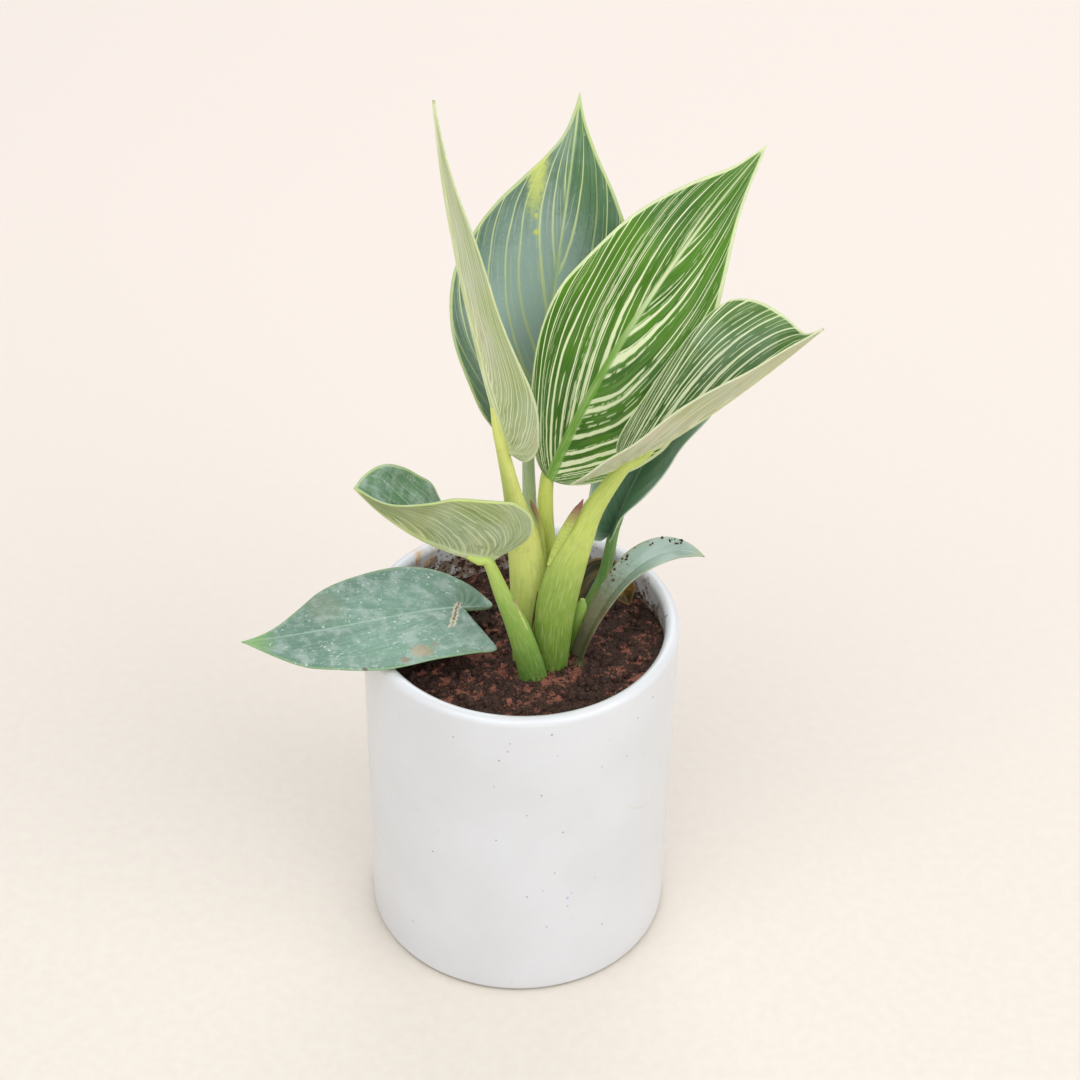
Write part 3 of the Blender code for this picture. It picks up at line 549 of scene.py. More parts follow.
def pinstripes(p, c, v, r, gather, seed, count, thin, thick, keep, breaks, run):
    """Fine lines, one in each cell of c, each with its own place and width, some left out or broken."""
    phase = p.times(c, count)
    cell = p.math("FLOOR", phase)
    where = p.xyz(cell, p.math("SIGN", v), seed)
    chance = p.node("ShaderNodeTexWhiteNoise", {"Vector": where}).outputs["Color"]
    place, wide, strong = p.split(chance)
    away = p.gap(p.math("FRACT", phase), p.line(place, 0.4, 0.3))
    width = p.line(p.times(wide, wide), thick - thin, thin)
    fray = p.noise(p.xyz(cell, p.times(r, 14), seed + 2), 1, 2)
    width = p.times(width, p.line(fray, 1.4, 0.3))
    width = p.times(p.times(width, p.line(r, -0.8, 1.4)), gather)
    line = p.fade(p.less(away, width), -0.03, 0.05 + 0.0006 * count)
    there = p.fade(strong, keep, keep + 0.04)
    breaks_at = p.noise(p.xyz(p.times(cell, 3.7), p.times(r, run), seed + 1), 1, 2)
    whole = p.ease(p.less(breaks_at, p.line(strong, 0.12, breaks)), -0.03, 0.03)
    return p.times(p.times(line, there), whole)


def blotch(p, look, where, x, y, colour, spot, fray=1.0):
    """The colour with a ragged spot, given by its row."""
    along, across, radius, soft, tint, amount, *squeeze = spot
    length = look["length"] * (squeeze[0] if squeeze else 1.0)
    away = p.distance(p.xyz(p.times(x, length), y), (along * length, across, 0))
    ragged = p.sway(p.noise(where, 0.8, 4, 0.7), fray * (radius + soft))
    return p.lay(colour, p.fade(p.add(away, ragged), radius, radius + soft), tint, amount)


def torn_line(p, look, where, x, y, colour):
    """The colour with a pale torn line that has a brown middle."""
    start, slant, low, high = look["scar"]
    away = p.gap(p.times(x, look["length"]), p.line(y, slant, start))
    away = p.add(away, p.sway(p.noise(where, 0.7, 4, 0.65), 3.4))
    span = p.times(p.ease(y, low, low + 1.5), p.fade(y, high - 1.0, high))
    for reach, tint in ((0.9, "#cfc8ac"), (0.1, "#6a4230")):
        colour = p.lay(colour, p.times(p.ease(away, reach, reach + 0.5, 0.85, 0.0), span), tint)
    return colour


def leaf_coat(name, look):
    """Blade colour: a green ground, swept pale stripes and dashes, midrib, margin and dust."""
    p = Paint(name, look["rough"], Specular_IOR_Level=look["shine"])
    b, v, _ = p.uv("vein")
    x, y, _ = p.uv("place")
    ray = p.uv("edge")[0]
    r = p.math("ABSOLUTE", v)
    out = p.math("ABSOLUTE", y)
    where = p.place()
    seed = look["seed"]
    # The stripes lie in cells of c, which follows the veins, wanders a little and crowds at the base.
    wander = p.noise(p.xyz(p.times(b, 5), p.times(v, 2), seed), 1, 2)
    c = p.less(b, p.times(r, p.line(r, look["bend"], look["lean"])))
    c = p.add(c, p.sway(wander, look["wander"]))
    c = p.add(c, p.line(p.math("EXPONENT", p.times(c, -4.0)), -0.3, 0.3))
    broad = p.noise(where, 0.035, 2, 0.5)
    ground = p.blend(p.ease(broad, 0.35, 0.65), look["ground"], look["ground2"])
    fine = p.noise(p.xyz(p.times(c, 160), p.times(v, 6), seed), 1, 2)
    ground = p.lay(ground, p.ease(fine, 0.4, 0.75), look["stripe"], look["grain"])
    shade = p.noise(p.xyz(p.times(c, 40), p.times(v, 2), seed + 9), 1, 1)
    shade = p.times(p.ease(shade, 0.5, 0.7), look["shade"])
    ground = p.mix(shade, ground, hexed(look["ground"]), "MULTIPLY")
    # Painted reflection: a pale bluish glare patch laid into the ground colour, under the stripes.
    if "glow" in look:
        ground = blotch(p, look, where, x, y, ground, look["glow"], 0.2)
    gather = p.most(p.line(x, -2 * look["gather"], 1 + 0.9 * look["gather"]), 0.4)
    stripes = reduce(p.most, [p.times(pinstripes(p, c, v, r, gather, seed + 10 * k, *row), strength)
                              for k, (*row, strength) in enumerate(look["lines"])])
    colour = p.lay(ground, p.times(stripes, p.ease(out, 0.2, 1.4)), look["stripe"])
    # The midrib narrows to the tip and turns pale there.
    taper = p.math("POWER", p.most(p.less(1.0, x), 0.0), 1.6)
    rib_width = p.line(taper, look["rib_narrow"], look["rib_wide"] - look["rib_narrow"])
    rib = p.fade(p.less(out, rib_width), -0.5, 0.25)
    streak = p.noise(p.xyz(p.times(y, 2.2), p.times(x, 7), 4.0), 1, 2)
    pale = p.most(p.times(p.ease(streak, 0.42, 0.62), look["rib_streak"]),
                  p.times(p.ease(x, 0.3, 0.6), look["rib_pale"]))
    rib_colour = p.blend(pale, look["rib"], look["stripe"])
    colour = p.mix(p.times(rib, 0.9), colour, rib_colour)
    edge = p.fade(p.add(ray, p.sway(wander, 1.2)), look["margin_wide"], look["margin_wide"] + 0.5)
    colour = p.lay(colour, edge, look["margin"], look["margin_amount"])
    haze = p.noise(where, look["bloom_size"], 3, 0.55)
    colour = p.lay(colour, p.ease(haze, 0.42, 0.7), "#b9c6c2", look["bloom"])
    dust = p.noise(where, 0.9, 4, 0.65, 0.6)
    colour = p.lay(colour, p.ease(dust, look["dust_from"], 0.74), "#dfe6e2", look["dust"])
    for spot in look["spots"]:
        colour = blotch(p, look, where, x, y, colour, spot)
    if "scar" in look:
        colour = torn_line(p, look, where, x, y, colour)
    height = p.add(p.times(fine, 0.4), p.times(stripes, 0.3))
    height = p.add(height, p.times(p.noise(where, 2.2, 3), 0.3))
    return p.coat(colour, p.noise(where, 0.25, 3), 0.22, look["rough"] - 0.1, height, 0.35, 0.25)


def stalk_coat(name, colours):
    """Stalk colour: darker at the foot and yellower up high, with lengthwise streaks and soil at the foot."""
    low, middle, high = [hexed(code) for code in colours.split()]
    p = Paint(name, 0.4, Specular_IOR_Level=0.45)
    turn, run, _ = p.uv("stalk")
    where = p.place()
    rise = p.add(run, p.sway(p.noise(where, 0.12, 2), 16))
    colour = p.mix(p.ease(rise, 0.0, 30.0), low, middle)
    colour = p.mix(p.ease(rise, 27.0, 60.0), colour, high)
    pale = p.noise(p.xyz(p.times(turn, 36), p.times(run, 0.14), 2.0), 1, 3, 0.6)
    colour = p.lay(colour, p.ease(pale, 0.45, 0.75), "#dfe6a8", 0.3)
    dark = p.noise(p.xyz(p.times(turn, 17), p.times(run, 0.16), 8.0), 1, 3, 0.6)
    colour = p.mix(p.times(p.ease(dark, 0.48, 0.75), 0.35), colour, low)
    blush = p.noise(where, 0.2, 3, 0.6)
    colour = p.lay(colour, p.ease(blush, 0.55, 0.75), "#a89a58", 0.25)
    dirt = p.ease(p.noise(where, 0.7, 4, 0.6), 0.5, 0.62)
    near_soil = p.fade(p.split(where)[2], 109.0, 115.0)
    colour = p.lay(colour, p.times(dirt, near_soil), "#4a3322", 0.85)
    height = p.add(pale, p.times(p.noise(where, 1.5, 3), 0.3))
    return p.coat(colour, p.noise(where, 0.4, 3), 0.25, 0.3, height, 0.2, 0.15)


def arc(middle, radius, start, end, steps):
    turns = [radians(start + (end - start) * k / steps) for k in range(steps + 1)]
    return [(middle[0] + radius * cos(turn), middle[1] + radius * sin(turn)) for turn in turns]


def line_up(start, end, steps):
    return [(start[0] + (end[0] - start[0]) * k / steps, start[1] + (end[1] - start[1]) * k / steps)
            for k in range(1, steps)]


# Specks on the glaze: turn from the front in degrees, height, radius and whether it is blue.
SPECKS = [(11.7, 113.5, 0.4, 0), (-3.5, 107.1, 0.3, 0), (-2.8, 110.4, 0.25, 0), (-6.6, 103.1, 0.35, 0),
          (-8.3, 92, 0.25, 0), (8.5, 88.6, 0.35, 0), (3.5, 80.4, 0.3, 0), (16.7, 71.5, 0.35, 0),
          (-7.5, 69.1, 0.3, 0), (-32.6, 56.3, 0.35, 0), (14.1, 54, 0.3, 0), (4, 44.4, 0.35, 0),
          (9.8, 46.6, 0.25, 0), (19.3, 41.5, 0.5, 1), (19.4, 37.8, 0.35, 1), (20.8, 43.3, 0.3, 1),
          (11.6, 29.9, 0.3, 0), (34.5, 23.6, 0.35, 0), (57.9, 6.1, 0.3, 0), (42.2, 94.5, 0.3, 0),
          (31.1, 95, 0.25, 0), (47, 107.7, 0.3, 0), (55.4, 111.4, 0.4, 0), (-43.1, 18.3, 0.3, 0),
          (-23.3, 109.1, 0.3, 0)]
# A fine curved scratch: turn and height of its middle, and its radius.
SCRATCH = (58, 79, 13.5)


def on_wall(turn, height):
    """A point of the pot's outer wall, by its turn from the front in degrees and its height."""
    share = (height - FOOT_ROUND) / (POT_HEIGHT - RIM_ROUND - FOOT_ROUND)
    wall = POT_FOOT_RADIUS + (POT_RADIUS - POT_FOOT_RADIUS) * share
    return wall * sin(radians(turn)), -wall * cos(radians(turn)), height


def pot_coat():
    """White glaze with specks, a scratch, dirt inside the rim and painted shade along the foot."""
    p = Paint("white_glaze", 0.3, Coat_Weight=0.35, Coat_Roughness=0.12, Specular_IOR_Level=0.5)
    where = p.place()
    x, y, z = p.split(where)
    cloud = p.noise(where, 0.03, 3, 0.5)
    colour = p.blend(p.ease(cloud, 0.3, 0.7), "#d5d6d9", "#dbdce0")
    fine = p.noise(where, 0.5, 4, 0.6)
    colour = p.lay(colour, p.ease(fine, 0.45, 0.8), "#d3d2ce", 0.12)
    for turn, height, radius, blue in SPECKS:
        dot = p.spot(where, on_wall(turn, height), radius * 0.4, radius)
        colour = p.lay(colour, dot, "#7f9ad4" if blue else "#6c6a72", 0.7)
    turn, height, radius = SCRATCH
    bow = p.fade(p.gap(p.distance(where, on_wall(turn, height)), radius), 0.08, 0.3)
    bow = p.times(bow, p.times(p.ease(z, 77.0, 74.0), p.ease(x, 34.0, 36.0)))
    colour = p.lay(colour, p.times(bow, p.ease(fine, 0.3, 0.6, 0.1, 0.45)), "#c9bb84")
    near, chance = p.node("ShaderNodeTexVoronoi", {"Vector": where, "Scale": 0.16}).outputs[0:2]
    dots = p.times(p.fade(near, 0.035, 0.06), p.ease(p.split(chance)[0], 0.8, 0.82))
    colour = p.lay(colour, dots, "#8d8b90", 0.35)
    inside = p.fade(p.distance(where, p.xyz(0.0, 0.0, z)), 46.0, 46.6)
    low = p.ease(z, 108.0, 117.5, 0.16, 0.0)
    stain = p.noise(where, 0.22, 4, 0.6, 0.4)
    colour = p.lay(colour, p.times(p.ease(p.add(stain, low), 0.56, 0.66), inside), "#8a6a50", 0.8)
    bits = p.noise(where, 0.6, 3, 0.6)
    colour = p.lay(colour, p.times(p.ease(p.add(bits, low), 0.66, 0.72), inside), "#4a3026")
    rust = p.spot(where, (-32.0, 32.5, 116.5), 2.0, 3.5)
    colour = p.lay(colour, p.times(rust, p.ease(stain, 0.35, 0.6)), "#d9a25e")
    # Painted shade: a dark olive band on the rounded foot, where it meets the floor.
    colour = p.lay(colour, p.fade(z, 0.2, 2.0), "#7d7558", 0.75)
    height = p.add(p.noise(where, 0.12, 2), p.times(fine, 0.15))
    return p.coat(colour, fine, 0.12, 0.24, height, 0.12, 0.4)


def pot():
    """One turned body, from the middle of its foot over the rim to the middle of its floor."""
    profile = [(0.0, 0.0)] + line_up((0, 0), (POT_FOOT_RADIUS - FOOT_ROUND, 0), 8)
    profile += arc((POT_FOOT_RADIUS - FOOT_ROUND, FOOT_ROUND), FOOT_ROUND, -90, 0, 8)
    profile += line_up((POT_FOOT_RADIUS, FOOT_ROUND), (POT_RADIUS, POT_HEIGHT - RIM_ROUND), 30)
    profile += arc((POT_RADIUS - RIM_ROUND, POT_HEIGHT - RIM_ROUND), RIM_ROUND, 0, 180, 20)
    profile += line_up((POT_INNER, POT_HEIGHT - RIM_ROUND), (POT_INNER, POT_FLOOR + INSIDE_ROUND), 26)
    profile += arc((POT_INNER - INSIDE_ROUND, POT_FLOOR + INSIDE_ROUND), INSIDE_ROUND, 0, -90, 8)
    profile += line_up((POT_INNER - INSIDE_ROUND, POT_FLOOR), (0, POT_FLOOR), 6) + [(0.0, POT_FLOOR)]
    points = [point for radius, height in profile for point in ring(radius, POT_SIDES, height)]
    add_piece("pot_body", "pot", points, ring_faces(len(profile) - 1, POT_SIDES), [pot_coat()])


def soil_height(x, y):
    """Height of the soil: its slope and clods as in the part, heaped at the stalks."""
    clods = noise.noise(Vector((x, y, 0)) / 7) + 0.5 * noise.noise(Vector((x, y, 9)) / 3)
    away = np.hypot(x - CROWN[0], (y - CROWN[1]) * 1.2)
    heap = HEAP_HEIGHT * max(1 - away / HEAP_REACH, 0) ** 0.5
    return SOIL_TOP + SOIL_SLOPE[0] * x + SOIL_SLOPE[1] * y + CLOD_HEIGHT * clods + heap


def fine_soil(x, y):
    """Height of the soil with its fine crumbs."""
    spots = noise.voronoi(Vector((x, y, 2)) / 2.6)[0]
    lump = 0.9 * (0.45 - spots[0] ** 1.5)
    small = noise.voronoi(Vector((x, y, 5)) / 1.1)[0]
    lump += 0.35 * (0.45 - small[0])
    lump += 0.5 * noise.noise(Vector((x, y, 3)) / 1.6) + 0.3 * noise.noise(Vector((x, y, 7)) / 0.7)
    return soil_height(x, y) + lump


def soil_coat(name):
    """Dark coir with reddish clods and a few pale grains."""
    p = Paint(name, 0.95, Specular_IOR_Level=0.25)
    where = p.place()
    clods = p.noise(where, 0.22, 3, 0.6, 0.5)
    grain = p.noise(where, 1.3, 4, 0.7)
    fibre = p.noise(where, 3.2, 3, 0.7)
    colour = p.blend(p.ease(grain, 0.38, 0.62), "#2c201d", "#523a30")
    clods = p.add(clods, p.sway(p.noise(where, 0.07, 2), 0.5))
    red = p.times(p.ease(p.add(clods, p.sway(grain, 0.5)), 0.53, 0.64), 0.85)
    colour = p.mix(red, colour, p.blend(p.ease(fibre, 0.4, 0.65), "#7a4a3c", "#b87866"))
    colour = p.lay(colour, p.ease(p.noise(where, 2.1, 3, 0.6), 0.66, 0.72), "#b58c74", 0.6)
    return p.coat(colour, grain, 0.3, 0.7, p.add(grain, p.times(fibre, 0.6)), 0.8, 0.5)


def soil():
    """The soil's body with its crumbly top, and the loose clods on it."""
    points = [(0.0, 0.0, fine_soil(0, 0))]
    for k in range(1, SOIL_RINGS + 1):
        radius = SOIL_RADIUS * (k / SOIL_RINGS) ** 0.85
        points += [(x, y, fine_soil(x, y)) for x, y, _ in ring(radius, SOIL_SECTORS)]
    for radius, height in SOIL_SIDES:
        points += ring(radius, SOIL_SECTORS, height)
    faces = [(0, 1 + s, 1 + (s + 1) % SOIL_SECTORS) for s in range(SOIL_SECTORS)]
    faces += ring_faces(SOIL_RINGS + len(SOIL_SIDES) - 1, SOIL_SECTORS, 1)
    faces.append(tuple(range(len(points) - SOIL_SECTORS, len(points))))
    coat = soil_coat("coir_soil")
    add_piece("soil_bed", "soil", points, faces, [coat])
    crumbs(coat)


def ball_mesh():
    bm = bmesh.new()
    bmesh.ops.create_icosphere(bm, subdivisions=2, radius=1)
    ball = np.array([v.co for v in bm.verts])
    shell = [tuple(v.index for v in f.verts) for f in bm.faces]
    bm.free()
    return ball, shell


BALL, SHELL = ball_mesh()


def add_grain(points, faces, base, size, draw):
    """Adds one lumpy clod to a mesh."""
    stretch = draw.uniform(0.65, 1.25, 3) * size
    first = len(points)
    offset = Vector(draw.uniform(0, 50, 3))
    spin = Matrix.Rotation(draw.uniform(0, 2 * pi), 3, Vector(draw.uniform(-1, 1, 3)).normalized())
    for corner in BALL:
        rough = 1 + 0.45 * noise.noise(Vector(corner) * 1.7 + offset)
        rough += 0.2 * noise.noise(Vector(corner) * 4 + offset)
        points.append(base + np.array(spin @ Vector(corner * stretch * rough)))
    faces += [tuple(first + k for k in face) for face in SHELL]


def crumbs(coat):
    """Loose clods, sunk partly into the soil."""
    draw = np.random.default_rng(11)
    points, faces = [], []
    for _ in range(CRUMB_COUNT):
        turn, share = draw.uniform(0, 2 * pi), draw.uniform(0, 1) ** 0.5
        size = 0.45 + 1.5 * draw.uniform(0, 1) ** 2.8
        reach = share * (SOIL_RADIUS - 1.4 - size * 1.3)
        x, y = reach * cos(turn), reach * sin(turn)
        add_grain(points, faces, np.array((x, y, fine_soil(x, y) + 0.25 * size)), size, draw)
    add_piece("soil_crumbs", "soil", points, faces, [coat], weld=0.0001)


# What a blade's look has unless its own row says otherwise.
PLAIN = dict(rough=0.42, shine=0.5, bend=0.16, lean=0.22, wander=0.03, grain=0.25, shade=0.35, gather=0.2,
             rib_wide=2.1, rib_narrow=1.5, rib_streak=0.8, rib_pale=0.3, margin_wide=0.5,
             margin_amount=0.8, bloom=0.2, bloom_size=0.06, dust=0.3, dust_from=0.66, spots=())
COLOURS = ("ground", "ground2", "stripe", "rib", "margin")
# Both faces of the dead leaf.
DEAD = dict(bloom=0.05, rough=0.7, length=38, lines=((5, 0.05, 0.14, 0.8, 0.3, 3, 0.5),),
            spots=((0.72, 0, 2.5, 4.5, "#c08a3c", 0.85),))


def face(seed, colours, **more):
    """The look of one face of a blade."""
    return {**PLAIN, "seed": seed, **dict(zip(COLOURS, colours.split())), **more}


# The colours of each stalk at its foot, in its middle and up high, and the upper and lower face of its blade.
# Lines: cells in a half, thinnest and thickest half width in cells, share kept, how broken, how often it
# breaks, and strength. Spots and the painted glare, a painted reflection: share of the length, distance
# across, radius, soft edge, tint, amount and squeeze along the blade. Scar: start, slant, and lowest and
# highest place across.
LOOKS = {
    "leaf_left_tall": (
        "#8aa648 #c2cc6c #dce07c",
        face(1, "#4d7a3a #5c8844 #d3dca0 #a9bf72 #cfd79a",
             lines=((12, 0.06, 0.14, 0.9, 0.2, 3, 0.9), (32, 0.06, 0.16, 0.6, 0.35, 6, 0.8))),
        face(2, "#9aae66 #b2b88a #ecf0c8 #c0cb8a #dfe4b4", wander=0.07, bend=0.2, rib_wide=2.8,
             grain=0.3, shade=0.2,
             lines=((17, 0.05, 0.2, 0.95, 0.2, 4, 0.75), (44, 0.08, 0.2, 0.7, 0.35, 6, 0.6)))),
    "leaf_back": (
        "#587a34 #86a35c #a9ba90",
        face(5, "#3a6044 #4d7646 #d6e29c #a4bd80 #c5d488", rib_wide=0.8, rib_narrow=0.4, rough=0.36,
             bloom=0.25, grain=0.1, dust=0.4, wander=0.05, margin_wide=0.7, length=112, dust_from=0.64,
             # The glare patch here is a painted reflection on the upper face.
             lean=0.14, glow=(0.32, -7, 7, 22, "#b8cfca", 0.85, 0.5),
             lines=((12.5, 0.03, 0.08, 0.9, 0.1, 3, 0.8), (34, 0.03, 0.07, 0.35, 0.45, 8, 0.4)),
             spots=((0.80, -9.6, 0.8, 3, "#cdd468", 0.7, 0.3),
                    (0.73, -9.8, 0.7, 2.8, "#c6d06a", 0.65, 0.3), (0.62, -8, 0.5, 0.8, "#d6d65c", 0.8),
                    (0.665, -8.6, 0.3, 0.7, "#d6d65c", 0.6))),
        face(6, "#7f9a5f #8ea36c #c7d2a0 #b3c27a #c9d493",
             lines=((9, 0.04, 0.1, 1, 0.15, 2, 0.6), (40, 0.06, 0.14, 0.6, 0.35, 6, 0.4)))),
    "leaf_centre": (
        "#86a040 #acbc56 #ccd468",
        face(9, "#3b6b14 #52841a #eaf0c4 #73a438 #e1e9b6", bloom=0.03, dust=0.08, rib_wide=2.3,
             rib_narrow=2, margin_wide=0.9, grain=0.1, wander=0.035, rough=0.5, shine=0.2, lean=0.08,
             bend=0.2, gather=0.8, rib_streak=0.25, rib_pale=0.8,
             lines=((12, 0.04, 0.125, 0.95, 0.12, 3, 0.95), (29, 0.04, 0.11, 0.5, 0.42, 6, 0.85),
                    (66, 0.07, 0.16, 0.3, 0.48, 12, 0.6))),
        face(10, "#7d9b56 #90aa68 #d3dcae #b3c684 #d5dfaa",
             lines=((11, 0.05, 0.15, 0.95, 0.2, 3, 0.6), (40, 0.06, 0.16, 0.6, 0.35, 6, 0.5)))),
    "leaf_right": (
        "#62852e #809c3c #bac860",
        face(12, "#3d6620 #527a2c #e3e9bc #8fae4c #dfe5b4", bloom=0.12, rib_wide=1.4, rib_narrow=0.9,
             grain=0.12, rough=0.48, shine=0.35, gather=0.8, lean=0.14,
             lines=((10, 0.06, 0.17, 0.95, 0.12, 3, 0.92), (25, 0.05, 0.15, 0.6, 0.38, 6, 0.85),
                    (60, 0.08, 0.18, 0.25, 0.45, 12, 0.5))),
        face(13, "#a5ad78 #bab592 #e0e0bc #b9c27c #e4e0c4", grain=0.25, shade=0.15,
             lines=((13, 0.05, 0.16, 0.9, 0.2, 3, 0.6), (44, 0.06, 0.2, 0.7, 0.35, 7, 0.5)))),
    "leaf_left_cupped": (
        "#5c8834 #86a848 #aec25c",
        face(16, "#4c7656 #648c66 #b3cab0 #8fae74 #b4c888", bloom=0.5, dust=0.8, rough=0.4, grain=0.08,
             dust_from=0.58, bloom_size=0.2,
             lines=((9, 0.03, 0.08, 0.8, 0.3, 4, 0.5), (40, 0.05, 0.12, 0.4, 0.5, 9, 0.4))),
        face(17, "#728846 #8c9762 #c8d09c #a5b56c #c9d680", bend=0.3, lean=0.1, wander=0.04, grain=0.25,
             shade=0.3, margin_wide=0.6,
             lines=((17, 0.04, 0.14, 0.9, 0.3, 4, 0.6), (52, 0.08, 0.18, 0.7, 0.42, 8, 0.5)))),
    "leaf_on_rim": (
        "#4c763a #628a4a #7a9c60",
        face(20, "#5c7f6c #6f9480 #a3bcae #94b0a0 #9fbd78", bloom=0.42, dust=1, rough=0.46,
             rib_wide=0.5, rib_narrow=0.2, length=73, grain=0.1, shade=0.2, margin_amount=0.4,
             bloom_size=0.22, dust_from=0.58,
             lines=((11, 0.03, 0.07, 0.8, 0.4, 4, 0.2), (40, 0.05, 0.14, 0.5, 0.45, 8, 0.2)),
             spots=((1, 0, 4, 9, "#86ae58", 0.6), (0.57, -22.8, 0.5, 0.6, "#5a4632", 0.8),
                    (0.31, -20, 2, 2.6, "#b08a64", 0.55), (0.4, -22.5, 0.8, 1.4, "#8a6444", 0.6),
                    (0.24, -18, 0.6, 1, "#8c6c50", 0.6), (0.6, 9, 3, 6, "#8c9078", 0.35),
                    (-0.06, 6, 3.4, 3.4, "#54755a", 0.65)), scar=(1.75, -0.6, -11, 2.5)),
        face(21, "#8a9a5c #98a668 #b7c28a #a5b56c #a3bf6c",
             lines=((9, 0.04, 0.1, 0.9, 0.25, 3, 0.4), (40, 0.06, 0.16, 0.6, 0.4, 7, 0.4)))),
    "leaf_back_right": (
        "#527c34 #56823c #628c44",
        face(24, "#6a9074 #80a688 #adc4ac #8eb088 #b5caa8", bloom=0.6, rib_wide=0.8, rib_narrow=0.4,
             grain=0.08, lines=((9, 0.02, 0.05, 0.7, 0.3, 3, 0.25), (30, 0.03, 0.08, 0.3, 0.5, 8, 0.2))),
        face(25, "#6c8a5c #7d9668 #a9b98c #8ea860 #b5c298",
             lines=((10, 0.04, 0.1, 0.9, 0.25, 3, 0.4), (40, 0.06, 0.16, 0.6, 0.4, 7, 0.4)))),
    "leaf_right_strap": (
        "#45432a #58623f #67764f",
        face(28, "#74907c #8ba698 #b4c2b4 #8ca088 #9aa98c", bloom=0.45, dust=0.6, rib_wide=0.5,
             rib_narrow=0.2, length=60,
             lines=((4, 0.05, 0.12, 0.8, 0.3, 3, 0.3), (14, 0.05, 0.14, 0.6, 0.4, 6, 0.3)),
             spots=((0.1, 0, 10, 24, "#6e6848", 0.9), (0, 0, 6, 10, "#46452a", 0.8),
                    (0.3, 3, 1, 2, "#6a5640", 0.6), (0.97, 0, 1.5, 3, "#a3b08a", 0.6))),
        face(29, "#7d8a5c #8a9468 #aab48c #8d9a64 #9aa98c", length=60,
             lines=((5, 0.05, 0.12, 0.8, 0.3, 3, 0.3), (16, 0.05, 0.14, 0.6, 0.4, 6, 0.3)),
             spots=((0.06, 0, 5, 9, "#4b4a30", 0.8),))),
    # The withered leaf's near-black olive is partly its own dried colour and partly painted shade, for the
    # shade it lies in behind the strap leaf.
    "leaf_withered": (
        "#4a4020 #6c5a2c #8a6c34",
        face(32, "#2e2a18 #4b4022 #7a6a3c #5c4826 #927244", margin_amount=0.6, **DEAD),
        face(33, "#3a3220 #5a4a28 #8a7444 #8a6c34 #b08a4a", **DEAD)),
    "leaf_bud": ("#86aa48 #9aba58 #c0b082",),
}

# Edges and free tips of the leaf sheaths, lying on the stalks: node, colour at the foot and at the tip,
# and stations of x, y, z, half width and half thickness.
SHEATHS = {
    "left_tall_edge": ("leaf_left_tall", "#a8b458", "#8a6a48",
                       [(7.3, -10.6, 148, 0.3, 0.3), (6.7, -11.3, 157, 0.6, 0.4),
                        (5.1, -11.7, 165.8, 0.7, 0.45), (3.4, -12, 171, 0.8, 0.45),
                        (2.3, -12.3, 174.2, 0.2, 0.15)]),
    "left_tall_slit": ("leaf_left_tall", "#6b5a30", "#7a6a3a",
                       [(3.4, -12.1, 124.5, 0.15, 0.12), (3.9, -12.2, 129, 0.35, 0.25),
                        (4.6, -12.1, 135, 0.35, 0.25), (5, -11.9, 140.5, 0.15, 0.12)]),
    "right_tip": ("leaf_right", "#b4c460", "#8a5a50",
                  [(8, -15.6, 152, 0.5, 0.4), (10.6, -15.8, 160, 1.3, 0.6),
                   (13.4, -16, 167, 1.6, 0.6), (15.9, -16.2, 173.2, 1.2, 0.45),
                   (17.2, -16.6, 176.2, 0.7, 0.35), (17.9, -17, 178.4, 0.15, 0.15)]),
    "cupped_edge": ("leaf_left_cupped", "#c5d07c", "#b08a74",
                    [(3.2, -21, 127, 0.2, 0.2), (1.9, -21.5, 131.5, 0.45, 0.3),
                     (-0.4, -21.9, 138, 0.55, 0.35), (-1.7, -21.9, 142, 0.4, 0.3),
                     (-2.2, -22.1, 144.2, 0.12, 0.12)]),
}


def sheaths():
    for name, (node, low, high, stations) in SHEATHS.items():
        run = np.linalg.norm(np.subtract(stations[-1][:3], stations[0][:3]))
        p = Paint(name + "_skin", 0.45, Specular_IOR_Level=0.4)
        grain = p.noise(p.place(), 1.2, 3, 0.6)
        climb = p.ease(p.add(p.uv("stalk")[1], p.sway(grain, 5.0)), run * 0.5, run * 0.92)
        colour = p.blend(climb, low, high)
        colour = p.lay(colour, p.ease(grain, 0.5, 0.7), "#6b4a34", 0.3)
        skin = p.coat(colour, grain, 0.2, 0.4, grain, 0.3, 0.15)
        stalk_piece(name, node, stations, skin, rings=36, sides=16, flat_foot=False)


def strap_dirt():
    """Grains of soil that stick to the left half of the strap leaf."""
    blade = Blade(LEAVES["leaf_right_strap"])
    draw = np.random.default_rng(5)
    points, faces = [], []
    for _ in range(STRAP_GRAINS):
        b, r = draw.uniform(0.38, 0.72), draw.uniform(0.45, 0.95)
        flat = blade.vein(-1, np.array(b), np.array(r))
        base = blade.surface(-1, *flat) + blade.normal(-1, *flat) * 0.35
        add_grain(points, faces, base, 0.18 + 0.35 * draw.uniform(0, 1) ** 2, draw)
    add_piece("strap_dirt", "leaf_right_strap", points, faces, [soil_coat("strap_grains")], weld=0.0001)


def plant():
    """Every leaf: its stalk and, except for the bud, its blade."""
    for node, spec in LEAVES.items():
        stalk_colours, *faces = LOOKS[node]
        coat = stalk_coat(node + "_stalk", stalk_colours)
        flat_foot = spec.get("foot_flat", True)
        stalk_piece(node + "_stalk", node, stalk_stations(spec), coat, flat_foot=flat_foot, ribs=STALK_RIBS)
        if faces:
            upper = leaf_coat(node + "_upper", faces[0])
            lower = leaf_coat(node + "_lower", faces[1])
            mesh = NARROW_MESH if spec.get("narrow") else dict(pucker=spec.get("pucker", 0.0))
            blade_piece(node, spec, upper, lower, **mesh)


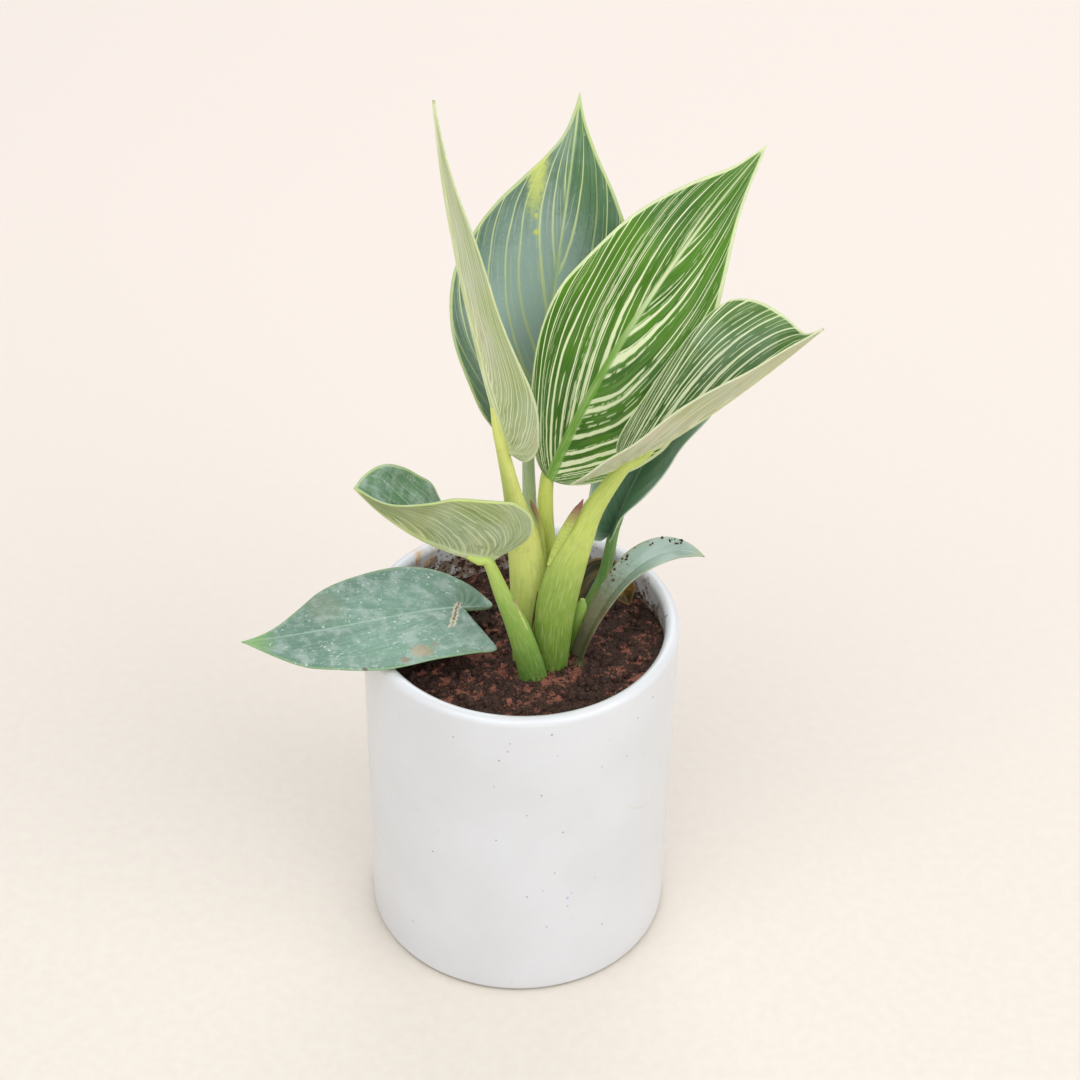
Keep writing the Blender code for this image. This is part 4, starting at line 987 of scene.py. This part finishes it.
def rootstock():
    """The rootstock stays as packed, with a bark-like coat."""
    p = Paint("rootstock_skin", 0.8)
    grain = p.noise(p.place(), 0.8, 4, 0.6)
    colour = p.blend(p.ease(grain, 0.35, 0.65), "#6b5232", "#a08a5c")
    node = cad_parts["rootstock"]
    node.data.materials.clear()
    node.data.materials.append(p.coat(colour, grain, 0.2, 0.7, grain, 0.6, 0.4))


def floor():
    """A pale floor with painted shade: darker near the camera and a little lighter far behind the pot."""
    p = Paint("pale_card", 0.85, Specular_IOR_Level=0.2)
    where = p.place()
    grain = p.noise(where, 0.25, 4, 0.6)
    near = p.blend(p.ease(grain, 0.3, 0.7), "#dfd6cb", "#e2dacf")
    # Painted shade: the floor colour darkens towards the camera and lightens far behind the pot.
    colour = p.mix(p.ease(p.split(where)[1], -150.0, 500.0), near, hexed("#e8ddd5"))
    steps = np.linspace(-FLOOR_REACH, FLOOR_REACH, FLOOR_CELLS + 1)
    rows = FLOOR_CELLS + 1
    mesh = bpy.data.meshes.new("floor")
    mesh.from_pydata([Vector((x, y, FLOOR_HEIGHT)) * MM for x in steps for y in steps], [],
                     [(i * rows + j, (i + 1) * rows + j, (i + 1) * rows + j + 1, i * rows + j + 1)
                      for i in range(FLOOR_CELLS) for j in range(FLOOR_CELLS)])
    mesh.materials.append(p.coat(colour, grain, 0.1, 0.8, grain, 0.15, 0.3))
    put("floor", mesh)


def lights():
    """Soft surroundings and wide lamps."""
    world = bpy.data.worlds.new("studio")
    world.use_nodes = True
    world.node_tree.nodes["Background"].inputs["Color"].default_value = SKY_TINT
    world.node_tree.nodes["Background"].inputs["Strength"].default_value = SKY_STRENGTH
    bpy.context.scene.world = world
    for name, place, size, power, tint in LAMPS:
        data = bpy.data.lights.new(name, "AREA")
        data.size = size
        data.energy = power
        data.color = tint
        lamp = put(name, data)
        lamp.location = place
        lamp.rotation_euler = (LAMP_AIM - Vector(place)).to_track_quat("-Z", "Y").to_euler()


def camera():
    """The camera at the photo's angle."""
    lens = bpy.data.cameras.new("camera")
    lens.lens = LENS
    lens.sensor_width = SENSOR
    made = put("camera", lens)
    back = Vector((0, -cos(radians(ELEVATION)), sin(radians(ELEVATION))))
    right = Vector((1, 0, 0))
    up = right.cross(-back)
    roll = radians(ROLL)
    across = cos(roll) * right + sin(roll) * up
    matrix = Matrix((across, cos(roll) * up - sin(roll) * right, back)).transposed()
    made.matrix_world = Matrix.Translation((Vector(AIM) + back * DISTANCE) * MM) @ matrix.to_4x4()
    bpy.context.scene.camera = made
    bpy.context.scene.view_settings.view_transform = "Standard"


floor()
lights()
camera()
pot()
soil()
rootstock()
plant()
sheaths()
strap_dirt()
